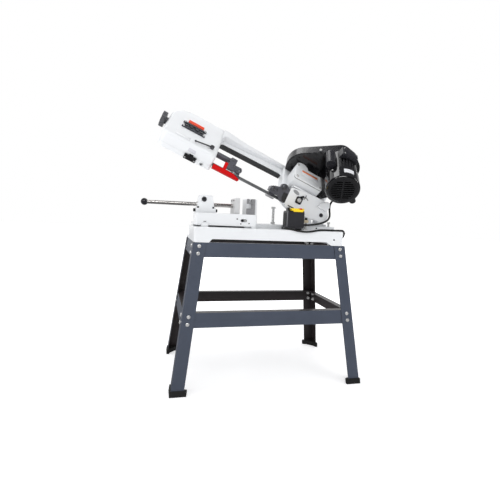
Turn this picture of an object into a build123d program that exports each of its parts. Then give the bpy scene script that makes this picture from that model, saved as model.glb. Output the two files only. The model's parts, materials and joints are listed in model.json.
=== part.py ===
from build123d import *
import os
import math

os.makedirs("parts", exist_ok=True)

# ---------------------------------------------------------------- driving dimensions (mm)
SHIFT_X = 30.935           # centres the whole saw over the origin
SHIFT_Y = 0.0
STAND_H = 541.0          # stand height
TOP_X, TOP_Y = 597.0, 332.0      # stand at the top
FOOT_X, FOOT_Y = 738.0, 458.0    # stand at the floor
SHEET = 2.5              # stand sheet thickness
LEG_W = 46.0             # leg flange width
RAIL_H = 53.0            # rail web height
RAIL_LIP = 24.0          # rail lip width
LOW_RAIL_Z = 236.5       # underside of the lower rails
BED_Z = 541.0
BED_TOP = 597.0
DECK_TOP = 613.0         # raised platform under the arm
SHELF_TOP = 551.0        # rear shelf of the bed
TABLE_TOP = 648.0        # vise table
ROD_R, ROD_Y, ROD_Z = 7.0, -97.0, 678.0
WHEEL_R = 93.5           # blade wheel radius
WHEEL_C = 526.0          # distance between the wheel centres
DRIVE_U = 78.0           # drive wheel centre along the arm
BLADE_W, BLADE_T = 13.0, 0.9
BLADE_Y, BLADE_Z = -30.0, -12.6  # blade in the arm frame
ARM_ANGLE = 23.0         # arm raised at rest
PIVOT_X, PIVOT_Z = 232.7, 659.3  # arm pivot
GEAR_W = 74.0            # worm gear level in the gearbox
WORM_U = 118.0
MOTOR_U, MOTOR_W = 10.0, 189.0
BELT_WORM_R, BELT_MOTOR_R = 27.0, 33.0
GUARD_END, GUARD_END_R = (-20.0, 165.0), 70.0  # rounded end of the belt guard past the motor
CORD_R = 3.75
LEAD_R = 4.0

S2 = math.sqrt(0.5)
IDLER_U = DRIVE_U + WHEEL_C

# frames: arm (pivot at the origin, arm level) and the tilted wheel frame (u along the arm, d down-front, w up-front)
ARM = Pos(PIVOT_X, 0, PIVOT_Z) * Rot(0, ARM_ANGLE, 0)
TILT = Plane(origin=(0, BLADE_Y + S2 * WHEEL_R, BLADE_Z + S2 * WHEEL_R), x_dir=(-1, 0, 0), z_dir=(0, -S2, S2)).location
HEAD = ARM * TILT

nodes = {}


def put(name, *shapes):
    nodes[name] = list(shapes)


def solids_of(shape):
    return list(shape.solids())


def box(x0, x1, y0, y1, z0, z1):
    return Pos((x0 + x1) / 2, (y0 + y1) / 2, (z0 + z1) / 2) * Box(abs(x1 - x0), abs(y1 - y0), abs(z1 - z0))


def abox(u0, u1, y0, y1, z0, z1):
    return box(-u1, -u0, y0, y1, z0, z1)


def rod(p, axis, r, length):
    return Plane(origin=p, z_dir=axis).location * Pos(0, 0, length / 2) * Cylinder(r, length)


def taper(p, axis, r0, r1, length):
    return Plane(origin=p, z_dir=axis).location * Pos(0, 0, length / 2) * Cone(r0, r1, length)


def outline(pts):
    """Closed face from (x, y) or (x, y, radius) corners."""
    n = len(pts)
    P = [(p[0], p[1], p[2] if len(p) > 2 else 0.0) for p in pts]
    ends = []
    for i in range(n):
        x, y, r = P[i]
        ax, ay, _ = P[i - 1]
        bx, by, _ = P[(i + 1) % n]
        if r == 0:
            ends.append(((x, y), None, (x, y)))
            continue
        la, lb = math.hypot(ax - x, ay - y), math.hypot(bx - x, by - y)
        ua, ub = ((ax - x) / la, (ay - y) / la), ((bx - x) / lb, (by - y) / lb)
        th = math.acos(max(-1.0, min(1.0, ua[0] * ub[0] + ua[1] * ub[1])))
        t = r / math.tan(th / 2)
        bis = (ua[0] + ub[0], ua[1] + ub[1])
        lbis = math.hypot(*bis)
        k = r / math.sin(th / 2) - r
        ends.append(((x + ua[0] * t, y + ua[1] * t), (x + bis[0] / lbis * k, y + bis[1] / lbis * k), (x + ub[0] * t, y + ub[1] * t)))
    edges = []
    for i in range(n):
        a, m, b = ends[i]
        if m is not None:
            edges.append(ThreePointArc(a, m, b))
        c = ends[(i + 1) % n][0]
        if math.hypot(c[0] - b[0], c[1] - b[1]) > 1e-6:
            edges.append(Line(b, c))
    return make_face(edges)


def up(face, z0, z1):
    return Pos(0, 0, z0) * extrude(face, amount=z1 - z0, dir=(0, 0, 1))


def along_y(face, y0, y1):
    """Face drawn in (x, z), or (u, w) in the wheel frame, given depth along y."""
    return Pos(0, y1, 0) * Rot(90, 0, 0) * extrude(face, amount=y1 - y0, dir=(0, 0, 1))


def along_x(face, x0, x1):
    """Face drawn in (y, z), given length along x."""
    return Plane(origin=(x0, 0, 0), x_dir=(0, 1, 0), z_dir=(1, 0, 0)).location * extrude(face, amount=x1 - x0, dir=(0, 0, 1))


def disc(r, cx=0.0, cy=0.0):
    return Pos(cx, cy) * Circle(r)


# ---------------------------------------------------------------- stand
KX = (FOOT_X - TOP_X) / 2 / STAND_H
KY = (FOOT_Y - TOP_Y) / 2 / STAND_H


def half_x(z):
    return TOP_X / 2 + KX * (STAND_H - z)


def half_y(z):
    return TOP_Y / 2 + KY * (STAND_H - z)


bolt_cuts, bolts = [], []


def dome_bolt(p, n):
    """Dome bolt with its nut, p on the outer face of the leg, n pointing out."""
    p, n = Vector(*p), Vector(*n)
    head = Plane(origin=p, z_dir=n).location * Pos(0, 0, 2.0) * Cylinder(6.8, 4.0)
    head = fillet(head.edges().sort_by_distance(p + n * 200)[:1], 3.2)
    shank = rod(p + n * 0.1, -n, 4.0, 16.1)
    nut = Plane(origin=p - n * 5.3, z_dir=-n).location * extrude(RegularPolygon(6.5, 6, major_radius=False), amount=6.0)
    return head + shank + nut


for zc in (STAND_H - 13.5, STAND_H - 40.0, LOW_RAIL_Z + 13.5, LOW_RAIL_Z + 40.0):
    for sx in (-1, 1):
        for sy in (-1, 1):
            pf = (sx * (half_x(zc) - 23.0), sy * half_y(zc), zc)
            nf = (0, sy * 1.0, KY)
            ps = (sx * half_x(zc), sy * (half_y(zc) - 36.0), zc)
            ns = (sx * 1.0, 0, KX)
            for p, n in ((pf, Vector(*nf).normalized()), (ps, Vector(*ns).normalized())):
                bolts.append(dome_bolt(p, n))
                bolt_cuts.append(rod(Vector(*p) + n * 6, -n, 4.02, 24.0))
put("stand_bolts", *bolts)

LEG_BASE = 5.0
legs, feet = [], []
for sx in (-1, 1):
    for sy in (-1, 1):
        def leg_face(z, grow=0.0):
            cx, cy = sx * half_x(z), sy * half_y(z)
            pts = [(0, 0), (LEG_W, 0), (LEG_W, SHEET), (SHEET, SHEET), (SHEET, LEG_W), (0, LEG_W)]
            return Pos(0, 0, z) * make_face(Polyline(*[(cx - sx * a, cy - sy * b) for a, b in pts], close=True))
        run = Vector(sx * (half_x(LEG_BASE) - half_x(STAND_H)), sy * (half_y(LEG_BASE) - half_y(STAND_H)), LEG_BASE - STAND_H)
        leg = extrude(leg_face(STAND_H), amount=run.length, dir=run)
        cx, cy = sx * half_x(0), sy * half_y(0)
        cap_pts = [(-3.5, -3.5), (56, -3.5), (56, 7), (40, 12), (12, 40), (7, 56), (-3.5, 56)]
        cap = make_face(Polyline(*[(cx - sx * a, cy - sy * b) for a, b in cap_pts], close=True))
        lift = Vector(-sx * KX * 21, -sy * KY * 21, 21.0)
        foot = extrude(cap, amount=lift.length, dir=lift) - leg
        legs.append(leg)
        feet.append(foot)
for i, leg in enumerate(legs):
    bb = leg.bounding_box()
    for c in bolt_cuts:
        q = c.center()
        if bb.min.X - 12 < q.X < bb.max.X + 12 and bb.min.Y - 12 < q.Y < bb.max.Y + 12:
            leg = leg - c
    legs[i] = leg
put("stand_legs", *legs)
put("stand_feet", *feet)

rails = []
for z0 in (LOW_RAIL_Z, STAND_H - RAIL_H):
    z1 = z0 + RAIL_H
    for s in (-1, 1):
        # front and back rails
        a, b = half_y(z1) - SHEET, half_y(z0) - SHEET
        pts = [(a, z1), (b, z0), (b - SHEET, z0), (a - SHEET, z1 - SHEET), (a - SHEET - RAIL_LIP, z1 - SHEET), (a - SHEET - RAIL_LIP, z1)]
        f = make_face(Polyline(*[(s * p, q) for p, q in pts], close=True))
        hx = half_x(z1) - SHEET - 1.0
        rails.append(along_x(f, -hx, hx))
        # side rails
        a, b = half_x(z1) - SHEET, half_x(z0) - SHEET
        pts = [(a, z1), (b, z0), (b - SHEET, z0), (a - SHEET, z1 - SHEET), (a - SHEET - RAIL_LIP, z1 - SHEET), (a - SHEET - RAIL_LIP, z1)]
        f = make_face(Polyline(*[(s * p, q) for p, q in pts], close=True))
        hy = half_y(z1) - 2 * SHEET - RAIL_LIP - 1.0
        rails.append(along_y(f, -hy, hy))
for i, r in enumerate(rails):
    bb = r.bounding_box()
    for c in bolt_cuts:
        q = c.center()
        if bb.min.X - 14 < q.X < bb.max.X + 14 and bb.min.Y - 14 < q.Y < bb.max.Y + 14 and bb.min.Z < q.Z < bb.max.Z:
            r = r - c
    rails[i] = r

# ---------------------------------------------------------------- bed
bed = box(-297, 290, -166, 56, BED_Z, BED_TOP) + box(90, 290, 56, 110, BED_Z, BED_TOP)
bed = fillet(bed.edges().filter_by(Axis.Z).filter_by(lambda e: e.center().Y < -100), 8)
bed = fillet(bed.faces().sort_by(Axis.Z)[-1].edges(), 3)
bed = bed - box(-289, 282, -158, 48, BED_Z - 1, BED_TOP - 8) - box(98, 282, 40, 102, BED_Z - 1, BED_TOP - 8)
bed = bed + box(-297, 290, 56, 164, BED_Z, SHELF_TOP) - box(98, 282, 40, 102, BED_Z - 1, BED_TOP - 8)
bed = bed + box(-57, 284, -94, 106, BED_TOP - 1, DECK_TOP)
# flange for the front bolts
for x0, x1 in ((-290, -246), (243, 283)):
    bed = bed + box(x0, x1, -159, -126, BED_Z, BED_Z + 9)
cut = along_y(make_face(Polyline((-243, BED_Z - 1), (241, BED_Z - 1), (218, BED_Z + 13), (-231, BED_Z + 13), close=True)), -170, -150)
bed = bed - cut
for x, y, z, dp in ((250, -170, 564, 14), (205, -98, 605, 14)):
    bed = bed - rod((x, y, z), (0, 1, 0), 3.5, dp)
bed_bolt_at = [(-268, -143, BED_Z + 9), (263, -143, BED_Z + 9), (-268, 147, SHELF_TOP), (263, 147, SHELF_TOP)]
bed_bolts = []
rail_holes = []
for x, y, z in bed_bolt_at:
    head = Pos(x, y, z) * extrude(RegularPolygon(8.0, 6, major_radius=False), amount=7.0)
    shank = rod((x, y, z + 0.1), (0, 0, -1), 5.0, z - BED_Z + 14.1)
    nut = Pos(x, y, BED_Z - SHEET) * extrude(RegularPolygon(8.0, 6, major_radius=False), amount=-8.0)
    bed_bolts.append(head + shank + nut)
    hole = rod((x, y, z + 1), (0, 0, -1), 5.02, z - BED_Z + 16)
    bed = bed - hole
    rail_holes.append(hole)
for i, r in enumerate(rails):
    for h in rail_holes:
        r = r - h
    rails[i] = r
put("stand_rails", *rails)

# ---------------------------------------------------------------- vise
table = box(-291, -58, -150, -52, 603, TABLE_TOP)
table = fillet(table.edges().filter_by(Axis.Z).filter_by(lambda e: e.center().X < -200), 6)
table = fillet(table.faces().sort_by(Axis.Z)[-1].edges(), 2)
table = table - box(-240, -112, -140, -62, 602, 632)
for x0, x1 in ((-270, -246), (-108, -66)):
    table = table + box(x0, x1, -144, -56, BED_TOP, 604)
# lugs on the front of the table
table = table + box(-271, -246, -154, -140, BED_TOP, 611) + box(-84, -67, -153, -140, BED_TOP, 604)
table = table - box(-67, -50, -160, -128.5, 590, 660)
table = table + box(-291, -66, -56, 30, BED_TOP, 611)
slot = along_y(outline([(-125, 619, 5.4), (-101, 619, 5.4), (-101, 630, 5.4), (-125, 630, 5.4)]), -152, -139)
table = table - slot

bracket = along_y(outline([(-289, TABLE_TOP, 0), (-214.5, TABLE_TOP, 0), (-214.5, 664.5, 3), (-222, 671, 3), (-228, 712, 6), (-278, 712, 6), (-283, 671, 3), (-289, 664.5, 3)]), -120, -76)
# pockets for the two holding screws
for x0, x1 in ((-284.5, -277), (-228, -220.5)):
    bracket = bracket - box(x0, x1, -121, -110, 664, 671)
bracket = bracket - rod((-300, ROD_Y, ROD_Z), (1, 0, 0), ROD_R + 0.05, 100)
cam = rod((-259, -121.5, 697), (0, 1, 0), 9.0, 47.5)
cam = cam - Pos(-259, -121.5, 697) * Rot(-90, 0, 0) * extrude(RegularPolygon(4.5, 6), amount=6.0)
bracket = bracket - rod((-259, -130, 697), (0, 1, 0), 9.05, 60)
put("vise_bracket", bracket)
put("vise_cam", cam)

put("rod_ball", Pos(-471, ROD_Y, ROD_Z) * Sphere(12.5) - rod((-464, ROD_Y, ROD_Z), (1, 0, 0), ROD_R, 60))
put("vise_rod", rod((-464, ROD_Y, ROD_Z), (1, 0, 0), ROD_R, 326))
jaw = box(-147, -128, -140, -54, TABLE_TOP + 0.35, 707)
jaw = fillet(jaw.edges().filter_by(Axis.Y).filter_by(lambda e: e.center().X < -140 and e.center().Z > 690), 7)
jaw = fillet(jaw.edges().filter_by(Axis.Z).filter_by(lambda e: e.center().Y < -130), 2.5)
jaw = jaw - rod((-160, ROD_Y, ROD_Z), (1, 0, 0), ROD_R, 22)
put("movable_jaw", jaw)

JP = (-66.5, -66.0)
jaw_body = box(-99, -60, -128.5, -54, TABLE_TOP + 0.35, 706)
jaw_body = fillet(jaw_body.edges().filter_by(Axis.Y).filter_by(lambda e: e.center().X > -62 and e.center().Z > 690), 6)
jaw_body = jaw_body - rod((JP[0], JP[1], 640), (0, 0, 1), 4.55, 80)
put("fixed_jaw", jaw_body)
ins = along_y(make_face(Polyline((-100.6, TABLE_TOP + 0.35), (-70, TABLE_TOP + 0.35), (-70, 706), (-83.5, 706), (-83.5, 693.5), (-93, 693.5), (-93, 706), (-100, 706), (-100, 688.5), (-81.5, 688.5), (-81.5, 670), (-100.6, 670), close=True)), -140, -128.5)
put("jaw_insert", ins)
pivot_bolt = rod((JP[0], JP[1], 618), (0, 0, 1), 4.5, 87.5) - Pos(JP[0], JP[1], 701) * extrude(RegularPolygon(2.2, 6), amount=6.0)
table = table - rod((JP[0], JP[1], 618), (0, 0, 1), 4.5, 40)

# screws that hold the vise: bracket side screws, slot bolt
vise_screws = []
for x, ax in ((-289, -1), (-214.5, 1)):
    for y in (-110, -86):
        vise_screws.append(rod((x, y, 656.5), (ax, 0, 0), 5.5, 6.0))
slot_bolt = rod((-107, -139, 624.5), (0, -1, 0), 4.8, 8.0)
put("vise_table", table)

# stop bolt under the arm, with lock nut, and the small stop screw
STOP_X, STOP_Y = 67.0, 62.0
stop = rod((STOP_X, STOP_Y, DECK_TOP - 12), (0, 0, 1), 5.5, 84) + Pos(STOP_X, STOP_Y, 680) * extrude(RegularPolygon(8.5, 6, major_radius=False), amount=8.0)
stop = stop + Pos(STOP_X, STOP_Y, DECK_TOP) * extrude(RegularPolygon(8.5, 6, major_radius=False), amount=9.0)
bed = bed - rod((STOP_X, STOP_Y, DECK_TOP - 12), (0, 0, 1), 5.5, 20)
small = rod((271, -66, DECK_TOP - 8), (0, 0, 1), 4.0, 22) + rod((271, -66, DECK_TOP + 12), (0, 0, 1), 6.5, 7)
bed = bed - rod((271, -66, DECK_TOP - 8), (0, 0, 1), 4.0, 20)
put("bed_screws", *bed_bolts, *vise_screws, slot_bolt, pivot_bolt, stop, small)
put("bed", bed)

# ---------------------------------------------------------------- switch
sw = box(57, 123, -160, -98, 607, 666)
sw = fillet(sw.edges().filter_by(Axis.Z), 3)
sw = sw - box(61, 119, -156, -102, 611, 667)
sw = sw + box(62, 118, -150, -108, BED_TOP, 608) - box(72, 108, -160, -98, BED_TOP - 1, 606)
put("switch_box", sw)
frame = fillet(box(58, 122, -159, -99, 666, 670).edges().filter_by(Axis.Z), 3)
START = (86.0, -131.0)
STOP = (106.5, -152.5)
frame = frame + along_y(outline([(59.5, 669, 0), (70.5, 669, 0), (70.5, 676, 2), (67, 684, 3), (59.5, 681, 4)]), -140, -122)
frame = frame - rod((START[0], START[1], 660), (0, 0, 1), 8.05, 20)
put("switch_frame", frame)
put("start_button", rod((START[0], START[1], 658), (0, 0, 1), 8.0, 15.5))
flap = fillet(box(71, 121, -162.6, -103, 670.35, 680).edges().filter_by(Axis.Z), 5)
flap = fillet(flap.faces().sort_by(Axis.Z)[-1].edges(), 3)
flap = flap - (box(74, 118, -159.6, -107, 669, 677) - box(STOP[0] - 9.5, STOP[0] + 9.5, -170, STOP[1] + 9.5, 660, 690))
flap = flap + box(77, 115, -162.6, -159.5, 666.6, 671)
flap = flap - rod((STOP[0], STOP[1], 665), (0, 0, 1), 7.05, 30)
flap = flap - box(STOP[0] - 7.05, STOP[0] + 7.05, -170, STOP[1], 675.2, 690)
flap = flap + rod((77, -103, 672.4), (1, 0, 0), 1.9, 36)
put("switch_flap", flap)
stopb = rod((STOP[0], STOP[1], 673.6), (0, 0, 1), 7.0, 7.4)
stopb = fillet(stopb.edges().sort_by(Axis.Z)[-1:], 1.5)
put("stop_button", stopb)

# ---------------------------------------------------------------- pivot on the bed
ears = []
for y0, y1, r in ((-46, -36, 15.0), (80, 92, 17.0)):
    leg_f = make_face(Polyline((PIVOT_X - r, PIVOT_Z), (PIVOT_X + r, PIVOT_Z), (PIVOT_X + r + 12, DECK_TOP), (PIVOT_X - r - 12, DECK_TOP), close=True))
    ear = along_y(leg_f + disc(r, PIVOT_X, PIVOT_Z), y0, y1)
    ear = ear + box(PIVOT_X - 36, PIVOT_X + 36, y0 - 2, y1 + 2, DECK_TOP, DECK_TOP + 8)
    ear = ear - rod((PIVOT_X, y0 - 5, PIVOT_Z), (0, 1, 0), 8.0, 30)
    ears.append(ear)
put("pivot_bracket", *ears)
pin_f = rod((PIVOT_X, -72.5, PIVOT_Z), (0, 1, 0), 8.0, 36.5)
pin_r = rod((PIVOT_X, 58, PIVOT_Z), (0, 1, 0), 8.0, 34.0)
put("pivot_pins", pin_f, pin_r)

# ---------------------------------------------------------------- arm casting (wheel frame)
WALL = 6.0
idler_out = outline([(488, 105, 10), (708, 105, 24), (708, -104, 78), (488, -104, 10)])
drive_out = outline([(192, 105, 80), (192, -108, 16), (-25, -108, 95), (-25, 105, 103)])
drive_low = outline([(182, 105, 84), (182, -108, 22), (-25, -108, 95), (-25, 105, 103)])


def pan(face, w0, w1, wall, round_r):
    p = up(face, w0, w1)
    p = fillet(p.faces().sort_by(Axis.Z)[-1].edges(), round_r)
    return p - up(offset(face, amount=-wall), w0 - 1, w1 - wall)


def hole_u(u0, u1, d, w, r):
    return rod((u0, d, w), (1, 0, 0), r, u1 - u0)


idler_pan = pan(idler_out, -5, 45, WALL, 11)
drive_pan = pan(drive_out, -5, 33, WALL, 8)
rib_plan = outline([(188, -108, 0), (492, -108, 0), (492, -36, 0), (489, -36, 0), (478, -64, 16), (188, -94, 0)])
rib_side = outline([(188, 14, 0), (492, 14, 0), (492, 44.8, 0), (468, 44.8, 60), (400, 37, 90), (188, 32.9, 0)])
rib = up(rib_plan, 10, 50) & along_y(rib_side, -110, -30)
rib = fillet([e for e in rib.edges() if e.center().Z > 31 and 210 < e.center().X < 487 and e.length > 30 and abs(e.tangent_at(0.5).X) > 0.9], 5)
lip = up(outline([(188, -108, 0), (492, -108, 0), (492, -22, 0), (489, -22, 0), (480, -46, 16), (206, -55, 14), (192, -48, 0), (188, -48, 0)]), 13.8, 18.5)
beam = rib + lip
gear_box = fillet(box(40, 170, -46, 44, 30, 94).edges().filter_by(Axis.Z), 8)
lobe = rod((138, -49, 58), (0, 0, 1), 28, 36)
boss = rod((WORM_U, -78, GEAR_W), (0, 1, 0), 20, 45)
casting = idler_pan + beam + drive_pan + gear_box + lobe + boss
casting = casting - box(46, 164, -40, 38, 38, 96)
casting = casting - rod((DRIVE_U, 0, 20), (0, 0, 1), 10.05, 30)
casting = casting - rod((WORM_U, -80, GEAR_W), (0, 1, 0), 8.05, 60) - rod((WORM_U, 30, GEAR_W), (0, 1, 0), 8.05, 11)
casting = casting - box(562, 648, -4, 24, 37, 48)
casting = casting - hole_u(696, 716, 20, 28, 6.05)
casting = casting - box(484, 498, 50.7, 69.3, 18.7, 35.3)
casting = casting - box(484, 498, 80, 99, -8, 20) - box(484, 498, -98, -56, -8, 13)
casting = casting - box(118, 208, 80, 99, -8, 20) - box(180, 196, -101.9, -60, -8, 13)
casting = casting - rod((516, 68, 34), (0, 0, 1), 5.05, 14)
casting = TILT * casting

# pivot plate, lugs and ribs (arm frame)


def plate(pts, y0, y1):
    return along_y(outline([(-p[0],) + tuple(p[1:]) for p in pts]), y0, y1)


front = plate([(166, 46, 6), (166, -26, 6), (152, -35, 6), (42, -35, 6), (8, -30, 0), (-20, 23, 0), (-10, 40, 0), (14, 58, 6), (62, 58, 4)], -70, -50)
front = front + along_y(disc(31), -70, -50)
fin = plate([(34, 22, 0), (20, 46, 8), (3, 60, 8), (-12, 60, 8), (-19, 44, 6), (-15, 22, 0)], -78, -50)
fin = fillet(fin.edges().filter_by(lambda e: e.center().Y < -77.9), 4)
fin = fin - along_y(disc(5, 2, 46), -70, -45)
shelf = along_x(make_face(Polyline((-66, 58), (-30.4, 58), (-27.5, 52), (-66, 52), close=True)), -160, -44)
rear = plate([(20, 8, 0), (-29, 38, 4), (-29, 90, 4), (-14, 96, 0), (-12, 116, 0), (-46, 110, 6), (-46, 50, 8), (-16, -8, 0)], 62, 76)
rear = rear + along_y(disc(23), 62, 76)
pan_space = TILT * up(offset(drive_out, amount=-WALL), -40, 27)
front = front - pan_space
casting = casting + front + fin + shelf + rear
for y0, y1 in ((-72, -48), (60, 78)):
    casting = casting - rod((0, y0, 0), (0, 1, 0), 8.05, y1 - y0)
put("arm_casting", ARM * casting)

# covers
gc = make_face(outline([(40, -46, 8), (170, -46, 8), (170, 44, 8), (40, 44, 8)]).edges()) + disc(28, 138, -49)
gear_cover = up(gc, 94, 100)
gear_cover = fillet(gear_cover.faces().sort_by(Axis.Z)[-1].edges(), 2)
put("gearbox_cover", HEAD * gear_cover)
screws = []
for u, d in ((49, -37), (49, 35), (161, 35), (160, -47)):
    screws.append(HEAD * (rod((u, d, 100), (0, 0, 1), 5.0, 4.0) - Pos(u, d, 102) * extrude(RegularPolygon(2.8, 6), amount=3.0)))


def tray(face, w0, w1, wall):
    t = up(face, w0, w1)
    t = fillet(t.faces().sort_by(Axis.Z)[0].edges(), 2.2)
    return t - up(offset(face, amount=-wall), w0 + wall, w1 + 1)


idler_cover = tray(idler_out, -28, -5.35, 2.5)
idler_cover = idler_cover - box(484, 494, 79, 101, -14, 0) - box(484, 494, -100, -79, -14, 0)
put("idler_cover", HEAD * idler_cover)
drive_cover = tray(drive_low, -28, -5.0, 2.5)
drive_cover = drive_cover - box(110, 208, 79, 101, -14, 0) - box(170, 190, -104, -79, -14, 0)
drive_cover = TILT * drive_cover
HD, HW = 109.5, -5.0
hinge = box(566, 582, 105, 107, -3.5, 3) + hole_u(566, 582, HD, HW, 4.0) + box(566, 582, 105.4, HD, -4, -1.5) + hole_u(551, 599, HD, HW, 2.4)
leaf = box(551, 599, 105, 107, -27.5, -11)
for u0, u1 in ((551, 565.6), (582.4, 599)):
    leaf = leaf + hole_u(u0, u1, HD, HW, 4.0) + box(u0, u1, 105.4, HD, -12, -5.5)
leaf = leaf - hole_u(540, 610, HD, HW, 2.45)
put("cover_hinge", HEAD * hinge)
put("cover_leaf", HEAD * leaf)
guard = up(outline([(193, -101.7), (487, -101.7), (487, -48), (193, -57.4)]), -12, 13.8) - up(outline([(187, -99.7), (495, -99.7), (495, -49.8), (187, -59.6)]), -10, 20)
put("return_guard", HEAD * guard)

# blade tension
gibs = [HEAD * box(557, 653, -9, -1, 45, 50), HEAD * box(557, 653, 21, 29, 45, 50)]
put("slide_gibs", *gibs)
for u in (563, 647):
    for d in (-5.0, 25.0):
        screws.append(HEAD * (rod((u, d, 50), (0, 0, 1), 3.9, 3.6) - Pos(u, d, 51.8) * extrude(RegularPolygon(2.2, 6), amount=3.0)))
put("tension_scale", HEAD * fillet(box(571, 636, -31, -13.5, 45, 50).edges().filter_by(Axis.Z), 2))
slider = box(576, 632, -32, 42, 20, 38.6) + box(582, 630, 0.5, 19.5, 38, 47.0)
slider = slider + rod((IDLER_U, 0, -14.5), (0, 0, 1), 10.0, 35) + rod((IDLER_U, 0, -17.5), (0, 0, 1), 14.0, 3.2)
for u in (593, 619):
    slider = slider + Pos(u, 10, 46.9) * extrude(RegularPolygon(6.0, 6, major_radius=False), amount=4.5)
slider = slider - hole_u(602, 640, 20, 28, 6.05)
put("tension_slider", HEAD * slider)
put("tension_screw", HEAD * hole_u(606, 722, 20, 28, 6.0))
kf = disc(30)
for i in range(8):
    a = math.radians(45 * i)
    kf = kf - disc(4.5, 31.5 * math.cos(a), 31.5 * math.sin(a))
knob = Pos(716, 20, 28) * Rot(0, 90, 0) * extrude(kf, amount=16) + hole_u(708.5, 716.2, 20, 28, 14)
knob = knob - hole_u(700, 722, 20, 28, 6.0)
put("tension_knob", HEAD * knob)

# wheels, gears, shafts


def wheel(u, bore):
    w = rod((u, 0, -9), (0, 0, 1), WHEEL_R - 0.3, 18) - rod((u, 0, -10), (0, 0, 1), 80, 20)
    w = w + rod((u, 0, 7), (0, 0, 1), 95.5, 2) - rod((u, 0, 6), (0, 0, 1), 80, 4)
    web = rod((u, 0, -4), (0, 0, 1), 80.5, 7)
    for i in range(5):
        a = math.radians(72 * i)
        web = web - rod((u + 50 * math.cos(a), 50 * math.sin(a), -6), (0, 0, 1), 17, 12)
    w = w + web + rod((u, 0, -12), (0, 0, 1), 20, 24)
    return w - rod((u, 0, -20), (0, 0, 1), bore, 50)


put("idler_wheel", HEAD * wheel(IDLER_U, 10.05))
put("drive_wheel", HEAD * wheel(DRIVE_U, 10.0))
teeth = 40
gp = []
for i in range(teeth):
    a = 2 * math.pi * i / teeth
    for k, r in ((-0.30, 28.4), (-0.16, 31.4), (0.16, 31.4), (0.30, 28.4)):
        t = a + k * 2 * math.pi / teeth
        gp.append((DRIVE_U + r * math.cos(t), r * math.sin(t)))
gear = up(make_face(Polyline(*gp, close=True)), GEAR_W - 8, GEAR_W + 8)
shaft = rod((DRIVE_U, 0, -15), (0, 0, 1), 10.0, 101) + rod((DRIVE_U, 0, -18), (0, 0, 1), 14.0, 3.2)
put("drive_shaft", HEAD * (gear + shaft))
put("worm_shaft", HEAD * (rod((WORM_U, -127, GEAR_W), (0, 1, 0), 8.0, 167) + rod((WORM_U, -24, GEAR_W), (0, 1, 0), 8.25, 48)))


def pulley(cu, cw, radii, bore):
    """Three-step pulley with one groove in each step, first radius nearest the back plate."""
    d = -91.0
    p = None
    for r in radii:
        step = rod((cu, d - 11.4, cw), (0, 1, 0), r, 11.4)
        ring = rod((cu, d - 9.7, cw), (0, 1, 0), r + 5, 8.0) - rod((cu, d - 9.7, cw), (0, 1, 0), r - 7.3, 8.0)
        step = step - ring
        p = step if p is None else p + step
        d -= 11.4
    return p - rod((cu, -140, cw), (0, 1, 0), bore, 60)


put("worm_pulley", HEAD * pulley(WORM_U, GEAR_W, (BELT_WORM_R + 6, BELT_WORM_R, BELT_WORM_R - 6), 8.0))
put("motor_pulley", HEAD * pulley(MOTOR_U, MOTOR_W, (BELT_MOTOR_R - 6, BELT_MOTOR_R, BELT_MOTOR_R + 6), 7.0))


def hull2(r1, r2, c1=(WORM_U, GEAR_W), c2=(MOTOR_U, MOTOR_W)):
    return make_hull((disc(r1, *c1) + disc(r2, *c2)).edges())


bd = -91.0 - 11.4 - 9.7 + 8.0 - 0.3
belt = along_y(hull2(BELT_WORM_R + 0.8, BELT_MOTOR_R + 0.8), bd - 7.4, bd) - along_y(hull2(BELT_WORM_R - 7.0, BELT_MOTOR_R - 7.0), bd - 9, bd + 2)
put("v_belt", HEAD * belt)

# belt guard


def guard_face(grow):
    """Outline round both pulleys and the long motor end, with a flat lower edge, offset by grow."""
    g = disc(77.0 + grow, WORM_U, 76.0) + disc(50.0 + grow, MOTOR_U, MOTOR_W) + disc(GUARD_END_R + grow, *GUARD_END)
    g = make_hull(g.edges())
    return g - Pos(0, 38.0 - grow - 150.0) * Rectangle(800, 300)


put("guard_backplate", HEAD * (along_y(guard_face(0), -80, -78) - rod((WORM_U, -85, GEAR_W), (0, 1, 0), 8.6, 10) - rod((MOTOR_U, -85, MOTOR_W), (0, 1, 0), 12, 10)))
gcov = along_y(guard_face(0), -133, -80.0)
gcov = gcov + along_y(guard_face(3.0), -82, -80)
gcov = gcov - along_y(guard_face(-2.0), -131, -70)
put("guard_cover", HEAD * gcov)

# motor
mf = disc(62)
for i in range(32):
    a = 360 / 32 * i
    mf = mf - Rot(0, 0, a) * Pos(61, 0) * Rectangle(9, 4.5)
body = along_y(mf, -60, 52) + rod((0, -76, 0), (0, 1, 0), 56, 18)
body = body + rod((0, 51, 0), (0, 1, 0), 56, 11) + rod((0, 52, 0), (0, 1, 0), 66, 4)
for x0, x1 in ((-62, -38), (6, 30)):
    body = body + box(x0, x1, -45, 35, 118 - MOTOR_W, -30)
body = body - rod((0, -62, 0), (0, 1, 0), 40, 112) - rod((0, -90, 0), (0, 1, 0), 7.05, 200)
body = Pos(MOTOR_U, 0, MOTOR_W) * body
rotor = rod((0, -127, 0), (0, 1, 0), 7.0, 231) + rod((0, -50, 0), (0, 1, 0), 38, 86)
fan = rod((0, 80, 0), (0, 1, 0), 53, 3) + rod((0, 80, 0), (0, 1, 0), 15, 22)
for i in range(7):
    fan = fan + Rot(0, 360 / 7 * i, 0) * box(13, 52, 82, 100, -1.5, 1.5)
put("motor_rotor", HEAD * Pos(MOTOR_U, 0, MOTOR_W) * (rotor + fan))
fc = rod((0, 56, 0), (0, 1, 0), 66.5, 64)
fc = fillet(fc.faces().sort_by(Axis.Y)[-1].edges(), 5)
fc = fc - fillet(rod((0, 50, 0), (0, 1, 0), 64.5, 68).faces().sort_by(Axis.Y)[-1].edges(), 3)
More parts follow.
